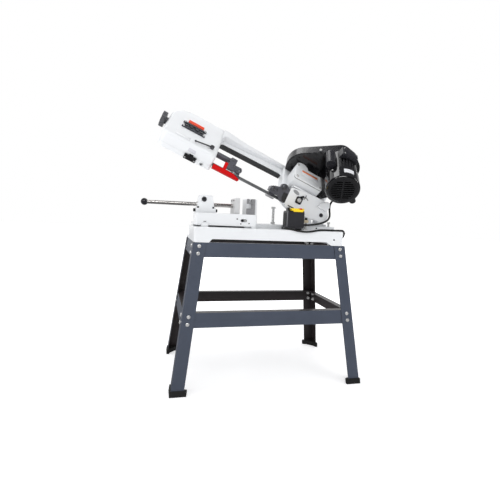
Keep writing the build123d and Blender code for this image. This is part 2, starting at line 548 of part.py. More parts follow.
for k in range(-4, 5):
    z = k * 9.0
    hw = math.sqrt(45 ** 2 - z ** 2)
    fc = fc - Rot(0, 31, 0) * (box(-hw, -3, 112, 125, z - 2.4, z + 2.4) + box(3, hw, 112, 125, z - 2.4, z + 2.4))
fc = fc + (rod((-65, 72, -21), (0, 1, 0), 12.5, 46) - rod((0, 55, 0), (0, 1, 0), 65.5, 90))
put("fan_cover", HEAD * Pos(MOTOR_U, 0, MOTOR_W) * fc)
jb = fillet(box(-24, 53, -66, -12, 232, 259).edges().filter_by(Axis.Z), 5)
jb = fillet(jb.faces().sort_by(Axis.Z)[-1].edges(), 4)
jb = jb - rod((MOTOR_U, -80, MOTOR_W), (0, 1, 0), 62.0, 150)
put("junction_box", HEAD * jb)
CU, CW = 82.0, 216.5
cap = fillet(rod((CU, -42, CW), (0, 1, 0), 19.5, 82).edges().filter_by(GeomType.CIRCLE), 3)
cap = cap + box(58, 80, -30, 2, 204, 214)
cap = cap - rod((MOTOR_U, -80, MOTOR_W), (0, 1, 0), 62.0, 150)
put("capacitor", HEAD * cap)
put("motor_body", HEAD * body)
mb = box(-58, 44, -50, 42, 110, 118) + box(30, 40, -40, 38, 42, 112)
mb = mb + along_y(make_face(Polyline((31, 46), (31, 111), (-26, 111), close=True)), 34, 41)
mb = mb + along_y(make_face(Polyline((31, 46), (31, 111), (-26, 111), close=True)), -42, -36)
GLAND = (-34.0, 30.0)
mb = mb + rod((GLAND[0], GLAND[1], 111), (0, 0, -1), 8.0, 9) + taper((GLAND[0], GLAND[1], 102.2), (0, 0, -1), 6.5, 5.0, 14)
put("motor_bracket", HEAD * mb)

# blade


def blade_section(u, phi):
    a = math.radians(phi)
    return Plane(origin=(u, WHEEL_R + BLADE_T / 2, 0), x_dir=(0, -math.sin(a), math.cos(a)), z_dir=(1, 0, 0)).location * Rectangle(BLADE_W, BLADE_T)


stations = [(DRIVE_U, 0), (110, 11.25), (142, 22.5), (174, 33.75), (206, 45), (406, 45), (455, 33.75), (505, 22.5), (555, 11.25), (IDLER_U, 0)]
cutting = loft([blade_section(u, p) for u, p in stations], ruled=True)
ring = rod((0, 0, -BLADE_W / 2), (0, 0, 1), WHEEL_R + BLADE_T, BLADE_W) - rod((0, 0, -BLADE_W), (0, 0, 1), WHEEL_R, 2 * BLADE_W)
left_half = Pos(DRIVE_U, 0, 0) * (ring - box(0, 200, -200, 200, -50, 50))
right_half = Pos(IDLER_U, 0, 0) * (ring - box(-200, 0, -200, 200, -50, 50))
back = box(DRIVE_U, IDLER_U, -WHEEL_R - BLADE_T, -WHEEL_R, -BLADE_W / 2, BLADE_W / 2)
put("blade", HEAD * (left_half + back + right_half + cutting))

# blade guides (arm frame)
bar = TILT * box(404, 600, 51, 69, 19, 35)
head = abox(405, 431, -46, -10, 8, 44) + abox(378, 440, -46, -14, -2, 22)
head = fillet(head.edges().filter_by(Axis.Y).filter_by(lambda e: e.center().Z > 40), 3)
head = head + abox(376, 406, -42, -31.2, -17, -1) + abox(376, 406, -29.3, -21, -17, -1)
head = head + along_y(disc(12, -386, 9), -53, -45)
head = head - bar
put("guide_bar", ARM * bar)
put("guide_head", ARM * head)
bg = abox(371, 485, -48.5, -18, -28, -12) - abox(360, 500, -46.3, -20.2, -25.8, 0)
bg = bg - along_y(make_face(Polyline((-404, -11), (-360, -11), (-360, -26.5), (-371, -22.0), close=True)), -60, -10)
bg = bg + abox(434, 447, -48.5, -46.3, -14, 16)
put("blade_guard", ARM * bg)
lever = rod((516, 68, 45.35), (0, 0, 1), 8, 10) + rod((516, 68, 36), (0, 0, 1), 5.0, 10)
hv = Vector(65, 20, 3)
lever = lever + rod((516, 68, 51), hv, 2.6, 68)
lever = lever + Pos(516 + hv.X / hv.length * 69, 68 + hv.Y / hv.length * 69, 51 + hv.Z / hv.length * 69) * Sphere(4.2)
put("guide_lever", HEAD * lever)
rg = plate([(166, -24, 0), (166, 33, 0), (172, 38, 4), (184, 45, 5), (205, 43, 6), (208, 26, 3), (232, 20, 6), (246, 9, 6), (245, -4, 4), (225, -9, 3), (200, -9, 4), (186, -24, 4)], -68, -49)
rg = rg - abox(172, 186, -70, -61, -6, 14)
rg = rg + along_y(disc(12, -194, 33), -72, -46) + along_y(disc(10, -236, 7), -74, -60) + abox(206.5, 240, -50, -12, 1, 18)
rg = rg + abox(210, 236, -42, -31.2, -17, 2) + abox(210, 236, -29.3, -20, -17, 2)
rg = rg - casting - drive_cover
rg = max(solids_of(rg), key=lambda s: s.volume)
put("right_guide", ARM * rg)
put("drive_cover", ARM * drive_cover)
put("arm_screws", *screws)

# ---------------------------------------------------------------- cords


def tube(pts, r, ratio=0.45):
    """Round cord along straight runs joined by tangent arcs."""
    V = [Vector(*p) for p in pts]
    L = [(V[i + 1] - V[i]).length for i in range(len(V) - 1)]
    edges, last, radii = [], V[0], []
    for i in range(1, len(V) - 1):
        a, b = (V[i - 1] - V[i]).normalized(), (V[i + 1] - V[i]).normalized()
        t = ratio * min(L[i - 1], L[i])
        half = math.acos(max(-1.0, min(1.0, a.dot(b)))) / 2
        rad = t * math.tan(half)
        radii.append(rad)
        p, q = V[i] + a * t, V[i] + b * t
        bis = (a + b).normalized()
        m = V[i] + bis * (rad / math.sin(half) - rad)
        edges.append(Line(last, p))
        edges.append(ThreePointArc(p, m, q))
        last = q
    edges.append(Line(last, V[-1]))
    path = Wire(edges)
    start = Plane(origin=V[0], z_dir=V[1] - V[0]).location * Circle(r)
    solid = sweep(start, path=path)
    return solid, path.length, radii


COIL = (15.0, 108.0)
COIL_R = 40.0
coil_z0 = SHELF_TOP
coil = Pos(COIL[0], COIL[1], coil_z0 + 11.25) * (Cylinder(COIL_R + 7.5, 22.5) - Cylinder(COIL_R - 7.5, 40))
coil = fillet(coil.edges(), 3.5)
put("cord_coil", coil)

mains_pts = [
    (57, -130.5, 602), (57, -143, 602), (58, -155, 601.7), (64, -164.5, 601.3), (76, -169.2, 599), (92, -170.4, 595.2), (112, -170.5, 592.6),
    (140, -170.5, 592.2), (165, -170.3, 596.5), (186, -167.6, 600.9), (210, -161.5, 601.0), (232, -159.6, 600.9), (256, -158.5, 600.95), (277, -157, 601.4), (292, -155.5, 601.2),
    (301, -151, 591), (304, -140, 577), (304.5, -118, 564), (304, -88, 555.5), (303.5, -50, 551.5), (303.5, -8, 551.2),
    (303.2, 32, 552.8), (302, 68, 556.2), (298, 94, 558.2), (284, 114, 557.2), (260, 126, 555.6), (224, 134, 554.9),
    (184, 136.5, 554.85), (146, 138.5, 554.85), (108, 142.5, 554.85), (75, 146.8, 554.9), (46, 148.2, 555.0), (38.5, 148.3, 555.0)]
mains, mains_len, mains_rad = tube(mains_pts, CORD_R)
mains = mains - coil
put("mains_cord", mains)
lead_end = HEAD * Pos(GLAND[0], GLAND[1], 88.2)
lp = lead_end.position
wdir = (HEAD * Pos(0, 0, 1)).position - (HEAD * Pos(0, 0, 0)).position
q1 = lp - wdir * 18
lead_pts = [
    (141, -116, 617), (153, -116, 617), (176, -106, 618.5), (208, -97, 622.5), (236, -92, 629.5), (256, -87.5, 640), (268, -78, 653),
    (275, -64, 666), (281, -48, 678), (286, -36, 691), (289, -31, 706), (q1.X, q1.Y, q1.Z), (lp.X, lp.Y, lp.Z)]
lead, lead_len, lead_rad = tube(lead_pts, LEAD_R)
put("motor_lead", lead)
elbow = box(52, 61.9, -113, -101, 597.4, 607) + taper((57, -113, 602), (0, -1, 0), 4.6, 4.2, 17.5)
lead_gland = rod((123, -116, 617), (1, 0, 0), 7.5, 8) + taper((131, -116, 617), (1, 0, 0), 6.2, 4.6, 10)
put("box_glands", elbow, lead_gland)
plug = fillet(box(-84, -44, 132, 164, SHELF_TOP, SHELF_TOP + 17).edges().filter_by(Axis.X), 5)
plug = plug + taper((-44.2, 148, 559.5), (1, 0, 0), 6.8, 4.6, 32)
for y in (138.5, 157.5):
    plug = plug + rod((-83.8, y, 559.5), (-1, 0, 0), 2.4, 19.2)
plug = plug - coil
put("mains_plug", max(solids_of(plug), key=lambda s: s.volume))

print("mains cord", round(mains_len), "radii", [round(r) for r in mains_rad], "volume ratio", round(tube(mains_pts, CORD_R)[0].volume / (math.pi * CORD_R ** 2 * mains_len), 4))
print("motor lead", round(lead_len), "radii", [round(r) for r in lead_rad], "volume ratio", round(lead.volume / (math.pi * LEAD_R ** 2 * lead_len), 4))

# ---------------------------------------------------------------- export
cords = ("mains_cord", "cord_coil", "mains_plug")
lo, hi = [1e9] * 3, [-1e9] * 3
for name, shapes in nodes.items():
    group = []
    for s in shapes:
        group.extend(solids_of(Pos(SHIFT_X, SHIFT_Y, 0) * s))
    part = group[0] if len(group) == 1 else Compound(children=group)
    export_step(part, "parts/" + name + ".step")
    bb = part.bounding_box()
    if name not in cords:
        for i, (a, b) in enumerate(((bb.min.X, bb.max.X), (bb.min.Y, bb.max.Y), (bb.min.Z, bb.max.Z))):
            lo[i], hi[i] = min(lo[i], a), max(hi[i], b)
    print(name, len(group), round(sum(g.volume for g in group) / 1000, 1), "cm3", [round(v, 1) for v in (bb.min.X, bb.max.X, bb.min.Y, bb.max.Y, bb.min.Z, bb.max.Z)])
print("box", [round(v, 2) for v in lo], [round(v, 2) for v in hi], len(nodes))
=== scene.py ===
import json
import math
import bpy
import bmesh
from mathutils import Matrix, Vector


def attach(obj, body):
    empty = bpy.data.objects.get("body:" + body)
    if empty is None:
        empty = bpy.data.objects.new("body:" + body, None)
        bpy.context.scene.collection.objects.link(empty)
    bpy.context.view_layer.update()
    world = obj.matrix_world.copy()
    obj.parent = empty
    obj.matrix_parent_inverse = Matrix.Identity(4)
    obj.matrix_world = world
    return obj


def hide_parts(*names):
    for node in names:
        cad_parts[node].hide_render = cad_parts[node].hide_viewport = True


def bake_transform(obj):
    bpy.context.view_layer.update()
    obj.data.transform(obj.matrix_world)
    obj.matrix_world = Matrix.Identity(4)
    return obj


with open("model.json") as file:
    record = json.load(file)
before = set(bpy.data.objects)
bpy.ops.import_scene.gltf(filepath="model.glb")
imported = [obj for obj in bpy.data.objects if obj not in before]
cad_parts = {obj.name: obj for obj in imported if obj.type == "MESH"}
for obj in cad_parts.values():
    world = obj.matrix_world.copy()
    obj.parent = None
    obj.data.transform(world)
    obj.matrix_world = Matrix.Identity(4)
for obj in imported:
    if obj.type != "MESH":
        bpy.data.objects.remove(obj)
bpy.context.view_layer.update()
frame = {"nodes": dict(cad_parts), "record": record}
NODES = frame["nodes"]
SX = 0.030935
scene = bpy.context.scene

# ---------------------------------------------------------------- camera
yaw, pitch, roll = math.radians(14.3415), math.radians(-5.2818), math.radians(2.6030)
fwd = Vector((math.sin(yaw) * math.cos(pitch), math.cos(yaw) * math.cos(pitch), math.sin(pitch)))
right0 = Vector((math.cos(yaw), -math.sin(yaw), 0.0))
up0 = right0.cross(fwd)
right = math.cos(roll) * right0 + math.sin(roll) * up0
upv = -math.sin(roll) * right0 + math.cos(roll) * up0
cam_data = bpy.data.cameras.new("photo_camera")
cam_data.sensor_width = 36.0
cam_data.sensor_fit = "HORIZONTAL"
cam_data.lens = 361.084 / 500.0 * 36.0
cam_data.clip_start, cam_data.clip_end = 0.05, 60.0
cam = bpy.data.objects.new("photo_camera", cam_data)
scene.collection.objects.link(cam)
rot = Matrix((right, upv, -fwd)).transposed().to_4x4()
cam.matrix_world = Matrix.Translation((-0.4195 + SX, -1.4593, 0.6408)) @ rot
scene.camera = cam

# ---------------------------------------------------------------- frames of the arm
AL = math.radians(23.0)
S2 = math.sqrt(0.5)
PX, PZ = 232.7, 659.3


def wpt(x, y, z):
    """Millimetres in the stand's frame to metres in the row frame."""
    return Vector((x / 1000 + SX, y / 1000, z / 1000))


def apt(u, y, z):
    """Arm frame (u along the arm from the pivot) to the row frame."""
    x = -u
    return wpt(PX + x * math.cos(AL) + z * math.sin(AL), y, PZ - x * math.sin(AL) + z * math.cos(AL))


def hpt(u, d, w):
    """Wheel frame to the row frame."""
    return apt(u, -30 + S2 * 93.5 - S2 * d - S2 * w, -12.6 + S2 * 93.5 - S2 * d + S2 * w)


def basis(f):
    o, ex, ey, ez = f(0, 0, 0), f(1, 0, 0), f(0, 1, 0), f(0, 0, 1)
    m = Matrix((ex - o, ey - o, ez - o)).transposed().to_4x4()
    return Matrix.Translation(o) @ m


M_W, M_A, M_H = basis(wpt), basis(apt), basis(hpt)

# ---------------------------------------------------------------- materials


class Net:
    def __init__(self, name):
        self.m = bpy.data.materials.new(name)
        self.m.use_nodes = True
        self.t = self.m.node_tree
        self.b = self.t.nodes["Principled BSDF"]
        self.tc = self.t.nodes.new("ShaderNodeTexCoord")

    def n(self, kind, **kw):
        nd = self.t.nodes.new(kind)
        for k, v in kw.items():
            setattr(nd, k, v)
        return nd

    def link(self, a, b):
        self.t.links.new(a, b)

    def coords(self, scale=(1, 1, 1), rot=(0, 0, 0)):
        mp = self.n("ShaderNodeMapping")
        mp.inputs["Scale"].default_value = scale
        mp.inputs["Rotation"].default_value = rot
        self.link(self.tc.outputs["Object"], mp.inputs["Vector"])
        return mp.outputs["Vector"]

    def noise(self, scale, detail=4.0, rough=0.55, vec=None, dist=0.0):
        nd = self.n("ShaderNodeTexNoise")
        nd.inputs["Scale"].default_value = scale
        nd.inputs["Detail"].default_value = detail
        nd.inputs["Roughness"].default_value = rough
        nd.inputs["Distortion"].default_value = dist
        self.link(vec if vec is not None else self.tc.outputs["Object"], nd.inputs["Vector"])
        return nd.outputs["Fac"]

    def voronoi(self, scale, vec=None, feature="F1"):
        nd = self.n("ShaderNodeTexVoronoi")
        nd.feature = feature
        nd.inputs["Scale"].default_value = scale
        self.link(vec if vec is not None else self.tc.outputs["Object"], nd.inputs["Vector"])
        return nd.outputs["Distance"]

    def ramp(self, fac, stops):
        nd = self.n("ShaderNodeValToRGB")
        els = nd.color_ramp.elements
        while len(els) > 2:
            els.remove(els[-1])
        for i, (p, c) in enumerate(stops):
            e = els[i] if i < 2 else els.new(p)
            e.position = p
            e.color = (c[0], c[1], c[2], 1.0) if isinstance(c, (tuple, list)) else (c, c, c, 1.0)
        self.link(fac, nd.inputs["Fac"])
        return nd.outputs["Color"]

    def mix(self, fac, a, b):
        nd = self.n("ShaderNodeMix", data_type="RGBA")
        for sock, v in ((nd.inputs[0], fac), (nd.inputs[6], a), (nd.inputs[7], b)):
            if isinstance(v, (float, int)):
                sock.default_value = v
            elif isinstance(v, (tuple, list)):
                sock.default_value = (v[0], v[1], v[2], 1.0)
            else:
                self.link(v, sock)
        return nd.outputs[2]

    def math(self, op, a, b=None):
        nd = self.n("ShaderNodeMath", operation=op)
        for i, v in enumerate((a, b)):
            if v is None:
                continue
            if isinstance(v, (float, int)):
                nd.inputs[i].default_value = v
            else:
                self.link(v, nd.inputs[i])
        return nd.outputs[0]

    def edge(self, radius=0.0012):
        """How near a convex edge is: the bent normal against the face normal."""
        bv = self.n("ShaderNodeBevel", samples=4)
        bv.inputs["Radius"].default_value = radius
        geo = self.n("ShaderNodeNewGeometry")
        dot = self.n("ShaderNodeVectorMath", operation="DOT_PRODUCT")
        self.link(bv.outputs["Normal"], dot.inputs[0])
        self.link(geo.outputs["Normal"], dot.inputs[1])
        return self.math("SUBTRACT", 1.0, dot.outputs["Value"])

    def finish(self, color, rough, bumps=(), metal=0.0, coat=0.0, bevel=0.0008, spec=0.5, coat_rough=0.05, rounded=None):
        b = self.b
        if isinstance(color, (tuple, list)):
            b.inputs["Base Color"].default_value = (color[0], color[1], color[2], 1.0)
        else:
            self.link(color, b.inputs["Base Color"])
        if isinstance(rough, (float, int)):
            b.inputs["Roughness"].default_value = rough
        else:
            self.link(rough, b.inputs["Roughness"])
        b.inputs["Metallic"].default_value = metal
        b.inputs["Coat Weight"].default_value = coat
        b.inputs["Coat Roughness"].default_value = coat_rough
        b.inputs["Specular IOR Level"].default_value = spec
        normal = None
        if bevel:
            bv = self.n("ShaderNodeBevel", samples=4)
            bv.inputs["Radius"].default_value = bevel
            normal = bv.outputs["Normal"]
        if rounded is not None:
            normal = rounded
        if coat and normal is not None:
            self.link(normal, b.inputs["Coat Normal"])
        for height, strength, distance in bumps:
            bp = self.n("ShaderNodeBump")
            bp.inputs["Strength"].default_value = strength
            bp.inputs["Distance"].default_value = distance
            self.link(height, bp.inputs["Height"])
            if normal is not None:
                self.link(normal, bp.inputs["Normal"])
            normal = bp.outputs["Normal"]
        if normal is not None:
            self.link(normal, b.inputs["Normal"])
        return self.m


def inward_shade_mask(n, cx):
    """1 on faces that look towards the middle of the stand, 0 on the outside; it marks where shade is painted onto the
    inward faces.
    """
    geo = n.n("ShaderNodeNewGeometry")
    sep = n.n("ShaderNodeVectorMath", operation="SUBTRACT")
    sep.inputs[1].default_value = (cx, 0.0, 0.0)
    n.link(geo.outputs["Position"], sep.inputs[0])
    flat = n.n("ShaderNodeVectorMath", operation="MULTIPLY")
    flat.inputs[1].default_value = (1.0, 1.0, 0.0)
    n.link(sep.outputs["Vector"], flat.inputs[0])
    dot = n.n("ShaderNodeVectorMath", operation="DOT_PRODUCT")
    n.link(flat.outputs["Vector"], dot.inputs[0])
    n.link(geo.outputs["Normal"], dot.inputs[1])
    return n.math("LESS_THAN", dot.outputs["Value"], 0.01)


def rim_normal(n):
    """Normals of a broad, soft rim round the front of the fan cover."""
    c, ax = hpt(10, 0, 189), (hpt(10, 1, 189) - hpt(10, 0, 189)).normalized()
    vec = lambda op: n.n("ShaderNodeVectorMath", operation=op)
    off = vec("SUBTRACT")
    n.link(n.tc.outputs["Object"], off.inputs[0])
    off.inputs[1].default_value = c
    dot = vec("DOT_PRODUCT")
    n.link(off.outputs["Vector"], dot.inputs[0])
    dot.inputs[1].default_value = ax
    axial = vec("SCALE")
    axial.inputs[0].default_value = ax
    n.link(dot.outputs["Value"], axial.inputs["Scale"])
    rad = vec("SUBTRACT")
    n.link(off.outputs["Vector"], rad.inputs[0])
    n.link(axial.outputs["Vector"], rad.inputs[1])
    size = vec("LENGTH")
    n.link(rad.outputs["Vector"], size.inputs[0])
    rhat = vec("NORMALIZE")
    n.link(rad.outputs["Vector"], rhat.inputs[0])
    t = n.n("ShaderNodeMapRange")
    t.inputs["From Min"].default_value = 0.0515
    t.inputs["From Max"].default_value = 0.0665
    n.link(size.outputs["Value"], t.inputs["Value"])
    out = vec("SCALE")
    n.link(rhat.outputs["Vector"], out.inputs[0])
    n.link(t.outputs["Result"], out.inputs["Scale"])
    fore = vec("SCALE")
    fore.inputs[0].default_value = ax
    n.link(n.math("SQRT", n.math("SUBTRACT", 1.0, n.math("MULTIPLY", t.outputs["Result"], t.outputs["Result"]))), fore.inputs["Scale"])
    both = vec("ADD")
    n.link(out.outputs["Vector"], both.inputs[0])
    n.link(fore.outputs["Vector"], both.inputs[1])
    tr = n.n("ShaderNodeVectorTransform", vector_type="NORMAL", convert_from="OBJECT", convert_to="WORLD")
    n.link(both.outputs["Vector"], tr.inputs["Vector"])
    geo = n.n("ShaderNodeNewGeometry")
    mask = n.math("MULTIPLY", n.math("GREATER_THAN", dot.outputs["Value"], 0.1145), n.math("GREATER_THAN", size.outputs["Value"], 0.0515))
    mx = n.n("ShaderNodeMix", data_type="VECTOR")
    n.link(mask, mx.inputs[0])
    n.link(geo.outputs["Normal"], mx.inputs[4])
    n.link(tr.outputs["Vector"], mx.inputs[5])
    return mx.outputs[1]


def scaled(c, k):
    return tuple(min(1.0, v * k) for v in c)


def paint(name, col, rough=0.32, coat=0.25, var=0.05, peel=0.10, cast=0.0, grime=0.12, edge_wear_and_highlight=None, bevel=0.0012, inner_face_shade=None, crevice_shade=0.0, spec=0.5, rim=False):
    n = Net(name)
    big = n.noise(7.0, 5.0, 0.6)
    base = n.ramp(big, [(0.30, scaled(col, 1.0 - var)), (0.70, scaled(col, 1.0 + var * 0.4))])
    patch = n.noise(38.0, 6.0, 0.65, dist=0.4)
    dust = n.ramp(patch, [(0.52, 0.0), (0.78, grime)])
    base = n.mix(dust, base, scaled(col, 0.72))
    speck = n.ramp(n.voronoi(420.0), [(0.0, grime * 2.2), (0.055, 0.0)])
    base = n.mix(speck, base, scaled(col, 0.45))
    # faces turned towards the middle of the stand get a darker colour: painted shade
    if inner_face_shade is not None:
        base = n.mix(inward_shade_mask(n, SX), base, inner_face_shade)
    # darker in crevices and gaps found by an occlusion node: painted shade
    if crevice_shade:
        ao = n.n("ShaderNodeAmbientOcclusion", samples=4)
        ao.inputs["Distance"].default_value = 0.012
        painted_crevice_shade = n.math("MULTIPLY", n.ramp(ao.outputs["AO"], [(0.15, 1.0), (0.75, 0.0)]), crevice_shade)
        base = n.mix(painted_crevice_shade, base, scaled(col, 0.30))
    # lighter broken edges: partly chipped wear, partly a painted highlight where the edges catch the light
    if edge_wear_and_highlight is not None:
        e = n.edge(0.0011)
        edge_chip_and_glint = n.math("MULTIPLY", e, n.noise(160.0, 5.0, 0.7))
        base = n.mix(n.ramp(edge_chip_and_glint, [(0.085, 0.0), (0.16, 0.75)]), base, edge_wear_and_highlight)
    r = n.ramp(n.noise(55.0, 5.0, 0.6), [(0.25, rough * 0.82), (0.75, rough * 1.25)])
    bumps = [(n.noise(650.0, 2.0, 0.5), peel, 0.0004)]
    if cast:
        bumps.insert(0, (n.noise(46.0, 4.0, 0.55), cast, 0.0016))
    return n.finish(base, r, bumps, coat=coat, bevel=bevel, spec=spec, rounded=rim_normal(n) if rim else None)


def metal(name, col, rough=0.3, along=None, var=0.12, bevel=0.0007, scratch=0.12, metallic=1.0):
    n = Net(name)
    if along is None:
        grain = n.noise(380.0, 3.0, 0.6)
    else:
        grain = n.noise(1.0, 4.0, 0.65, vec=n.coords(along))
    cloud = n.noise(22.0, 5.0, 0.6)
    base = n.ramp(cloud, [(0.25, scaled(col, 1.0 - var)), (0.75, scaled(col, 1.0 + var * 0.5))])
    stain = n.ramp(n.noise(70.0, 6.0, 0.7, dist=0.6), [(0.60, 0.0), (0.85, 0.35)])
    base = n.mix(stain, base, scaled(col, 0.55))
    r = n.ramp(grain, [(0.25, rough * 0.75), (0.75, min(1.0, rough * 1.35))])
    return n.finish(base, r, [(grain, scratch, 0.00025)], metal=metallic, bevel=bevel)


def plastic(name, col, rough=0.42, grain=900.0, strength=0.16, var=0.08, coat=0.0, bevel=0.0009, spec=0.5):
    n = Net(name)
    base = n.ramp(n.noise(26.0, 5.0, 0.6), [(0.3, scaled(col, 1.0 - var)), (0.7, scaled(col, 1.0 + var))])
    dust = n.ramp(n.noise(90.0, 6.0, 0.7), [(0.58, 0.0), (0.85, 0.10)])
    base = n.mix(dust, base, scaled(col, 2.2))
    r = n.ramp(n.noise(120.0, 4.0, 0.6), [(0.25, rough * 0.85), (0.75, min(1.0, rough * 1.2))])
    return n.finish(base, r, [(n.voronoi(grain), strength, 0.0002)], coat=coat, bevel=bevel, spec=spec)


WHITE = (0.80, 0.815, 0.83)
SLATE = (0.064, 0.078, 0.112)
BLACK = (0.0040, 0.0038, 0.0048)
MAT = {
    "paint_white": paint("enamel_white", WHITE, 0.32, 0.15, 0.025, 0.10, 0.14, 0.05, crevice_shade=0.35),
    "paint_blue": paint("powder_slate", SLATE, 0.38, 0.12, 0.10, 0.30, 0.0, 0.18, edge_wear_and_highlight=(0.16, 0.17, 0.19), bevel=0.0009, inner_face_shade=(0.026, 0.020, 0.021)),
    "paint_black": paint("enamel_black", BLACK, 0.19, 0.40, 0.15, 0.06, 0.02, 0.22, edge_wear_and_highlight=(0.05, 0.05, 0.055), bevel=0.0022, spec=0.6),
    "paint_red": paint("enamel_red", (0.58, 0.0015, 0.002), 0.46, 0.0, 0.06, 0.10, 0.0, 0.12, spec=0.12),
    "paint_orange": paint("enamel_orange", (0.82, 0.052, 0.006), 0.42, 0.0, 0.06, 0.10, 0.0, 0.12, spec=0.2),
    "steel": metal("steel_satin", (0.60, 0.60, 0.60), 0.24, along=(14, 900, 900)),
    "steel_dark": metal("steel_dark", (0.13, 0.13, 0.14), 0.36),
    "zinc": metal("zinc_plate", (0.80, 0.80, 0.79), 0.24, var=0.08, metallic=0.55),
    "iron_grey": metal("iron_machined", (0.30, 0.31, 0.32), 0.40, along=(600, 30, 600), metallic=0.9),
    "iron_wheel": metal("iron_turned", (0.24, 0.24, 0.25), 0.42),
    "alloy": metal("alloy_cast", (0.55, 0.56, 0.57), 0.38),
    "plastic_black": plastic("plastic_black", (0.016, 0.016, 0.020), 0.28, strength=0.10, spec=0.6),
    "plastic_yellow": plastic("plastic_yellow", (0.95, 0.66, 0.006), 0.38, 1400.0, 0.06, 0.05, 0.3),
    "plastic_red": plastic("plastic_red", (0.66, 0.018, 0.014), 0.26, 1400.0, 0.05, 0.05, 0.4),
    "plastic_green": plastic("plastic_green", (0.02, 0.30, 0.06), 0.26, 1400.0, 0.05, 0.05, 0.4),
    "rubber": plastic("rubber_black", (0.012, 0.012, 0.012), 0.60, 700.0, 0.22, 0.10, bevel=0.0012),
    # finishes of single pieces
    "guide_slate": paint("guide_slate", (0.082, 0.083, 0.098), 0.38, 0.15, 0.14, 0.30, 0.12, 0.25, edge_wear_and_highlight=(0.20, 0.20, 0.21)),
    "switch_box": plastic("switch_moulding", (0.024, 0.024, 0.029), 0.40, 1100.0, 0.18, 0.10),
    "rod": metal("rod_ground", (0.57, 0.55, 0.53), 0.20, along=(10, 900, 900), var=0.08, metallic=1.0),
    # tension knob: dark plastic made lighter as a painted sheen for the highlights on its faces
    "knob_grey_sheen": plastic("knob_grey_sheen", (0.080, 0.080, 0.088), 0.36, 900.0, 0.12, 0.08),
    "fan_black": paint("fan_black", (0.0035, 0.0034, 0.0042), 0.11, 0.50, 0.15, 0.05, 0.02, 0.22, bevel=0, spec=0.7, rim=True),
    "motor_black": paint("motor_black", (0.0050, 0.0048, 0.0060), 0.22, 0.35, 0.15, 0.06, 0.02, 0.22, edge_wear_and_highlight=(0.07, 0.07, 0.08), bevel=0.0008, crevice_shade=0.8, spec=0.6),
    "blade": metal("blade_steel", (0.36, 0.37, 0.38), 0.42, var=0.20),
    # movable jaw: a light grey that is partly its own tone and partly painted shade
    "jaw_grey_and_shade": paint("jaw_grey_and_shade", (0.58, 0.585, 0.59), 0.34, 0.10, 0.05, 0.10, 0.05, 0.10, crevice_shade=0.4),
    "guard_black": paint("guard_black", (0.0060, 0.0060, 0.0085), 0.24, 0.35, 0.15, 0.06, 0.02, 0.10, edge_wear_and_highlight=(0.06, 0.06, 0.07), bevel=0.0030, spec=0.6),
    "strip_grey": paint("strip_grey", (0.42, 0.42, 0.44), 0.36, 0.1, 0.06, 0.06, 0.0, 0.12),
    "gib_dark": metal("gib_dark", (0.055, 0.057, 0.068), 0.40, along=(500, 500, 500), metallic=0.4),
    "bolt_green": metal("bolt_passivated", (0.24, 0.26, 0.245), 0.36),
    "fan_dark": metal("fan_dark", (0.03, 0.03, 0.032), 0.5),
    "jaw": metal("jaw_iron", (0.29, 0.29, 0.30), 0.44, along=(700, 700, 24), metallic=0.35),
    "plate_bare": paint("plate_bare", (0.76, 0.77, 0.80), 0.34, 0.2, 0.05, 0.05, 0.0, 0.10),
    "plate_grey": paint("plate_grey", (0.30, 0.31, 0.32), 0.40, 0.1, 0.08, 0.08, 0.0, 0.15),
    "label_pale": paint("label_pale", (0.66, 0.66, 0.70), 0.42, 0.1, 0.05, 0.04, 0.0, 0.08),
    "label_orange": paint("label_orange", (0.80, 0.24, 0.10), 0.42, 0.1, 0.05, 0.04, 0.0, 0.08),
    "cream": plastic("plastic_cream", (0.62, 0.52, 0.36), 0.40, 1200.0, 0.08, 0.06),
    "black_oxide": metal("black_oxide", (0.035, 0.035, 0.038), 0.40),
    "bolt_grey": metal("bolt_grey", (0.26, 0.26, 0.28), 0.36),
    # lighter grey of the switch's base plate, also used for the painted highlight on the box's corner
    "switch_trim_and_highlight": plastic("switch_trim_and_highlight", (0.085, 0.085, 0.098), 0.42, 1100.0, 0.16, 0.10),
    # dark rubber for the gasket and grommet, also used for the dark patches painted as shade
    "gasket_and_shade": plastic("gasket_and_shade_dark", (0.020, 0.020, 0.022), 0.6, 800.0, 0.2, 0.10, bevel=0.0),
}
OWN = {"slide_gibs": "gib_dark", "tension_slider": "gib_dark", "guard_cover": "guard_black", "fan_cover": "fan_black", "guide_lever": "steel_dark", "tension_knob": "knob_grey_sheen", "motor_body": "motor_black", "motor_rotor": "fan_dark", "movable_jaw": "jaw_grey_and_shade", "guide_bar": "guide_slate", "guide_head": "guide_slate", "right_guide": "guide_slate", "switch_box": "switch_box", "vise_rod": "rod", "jaw_insert": "jaw"}
for sub in frame["record"]["subparts"]:
    ob = NODES.get(sub["node"])
    if ob is None:
        continue
    if not ob.material_slots:
        ob.data.materials.append(None)
    for s in ob.material_slots:
        s.material = MAT[OWN.get(sub["node"], sub["material_slot"])]

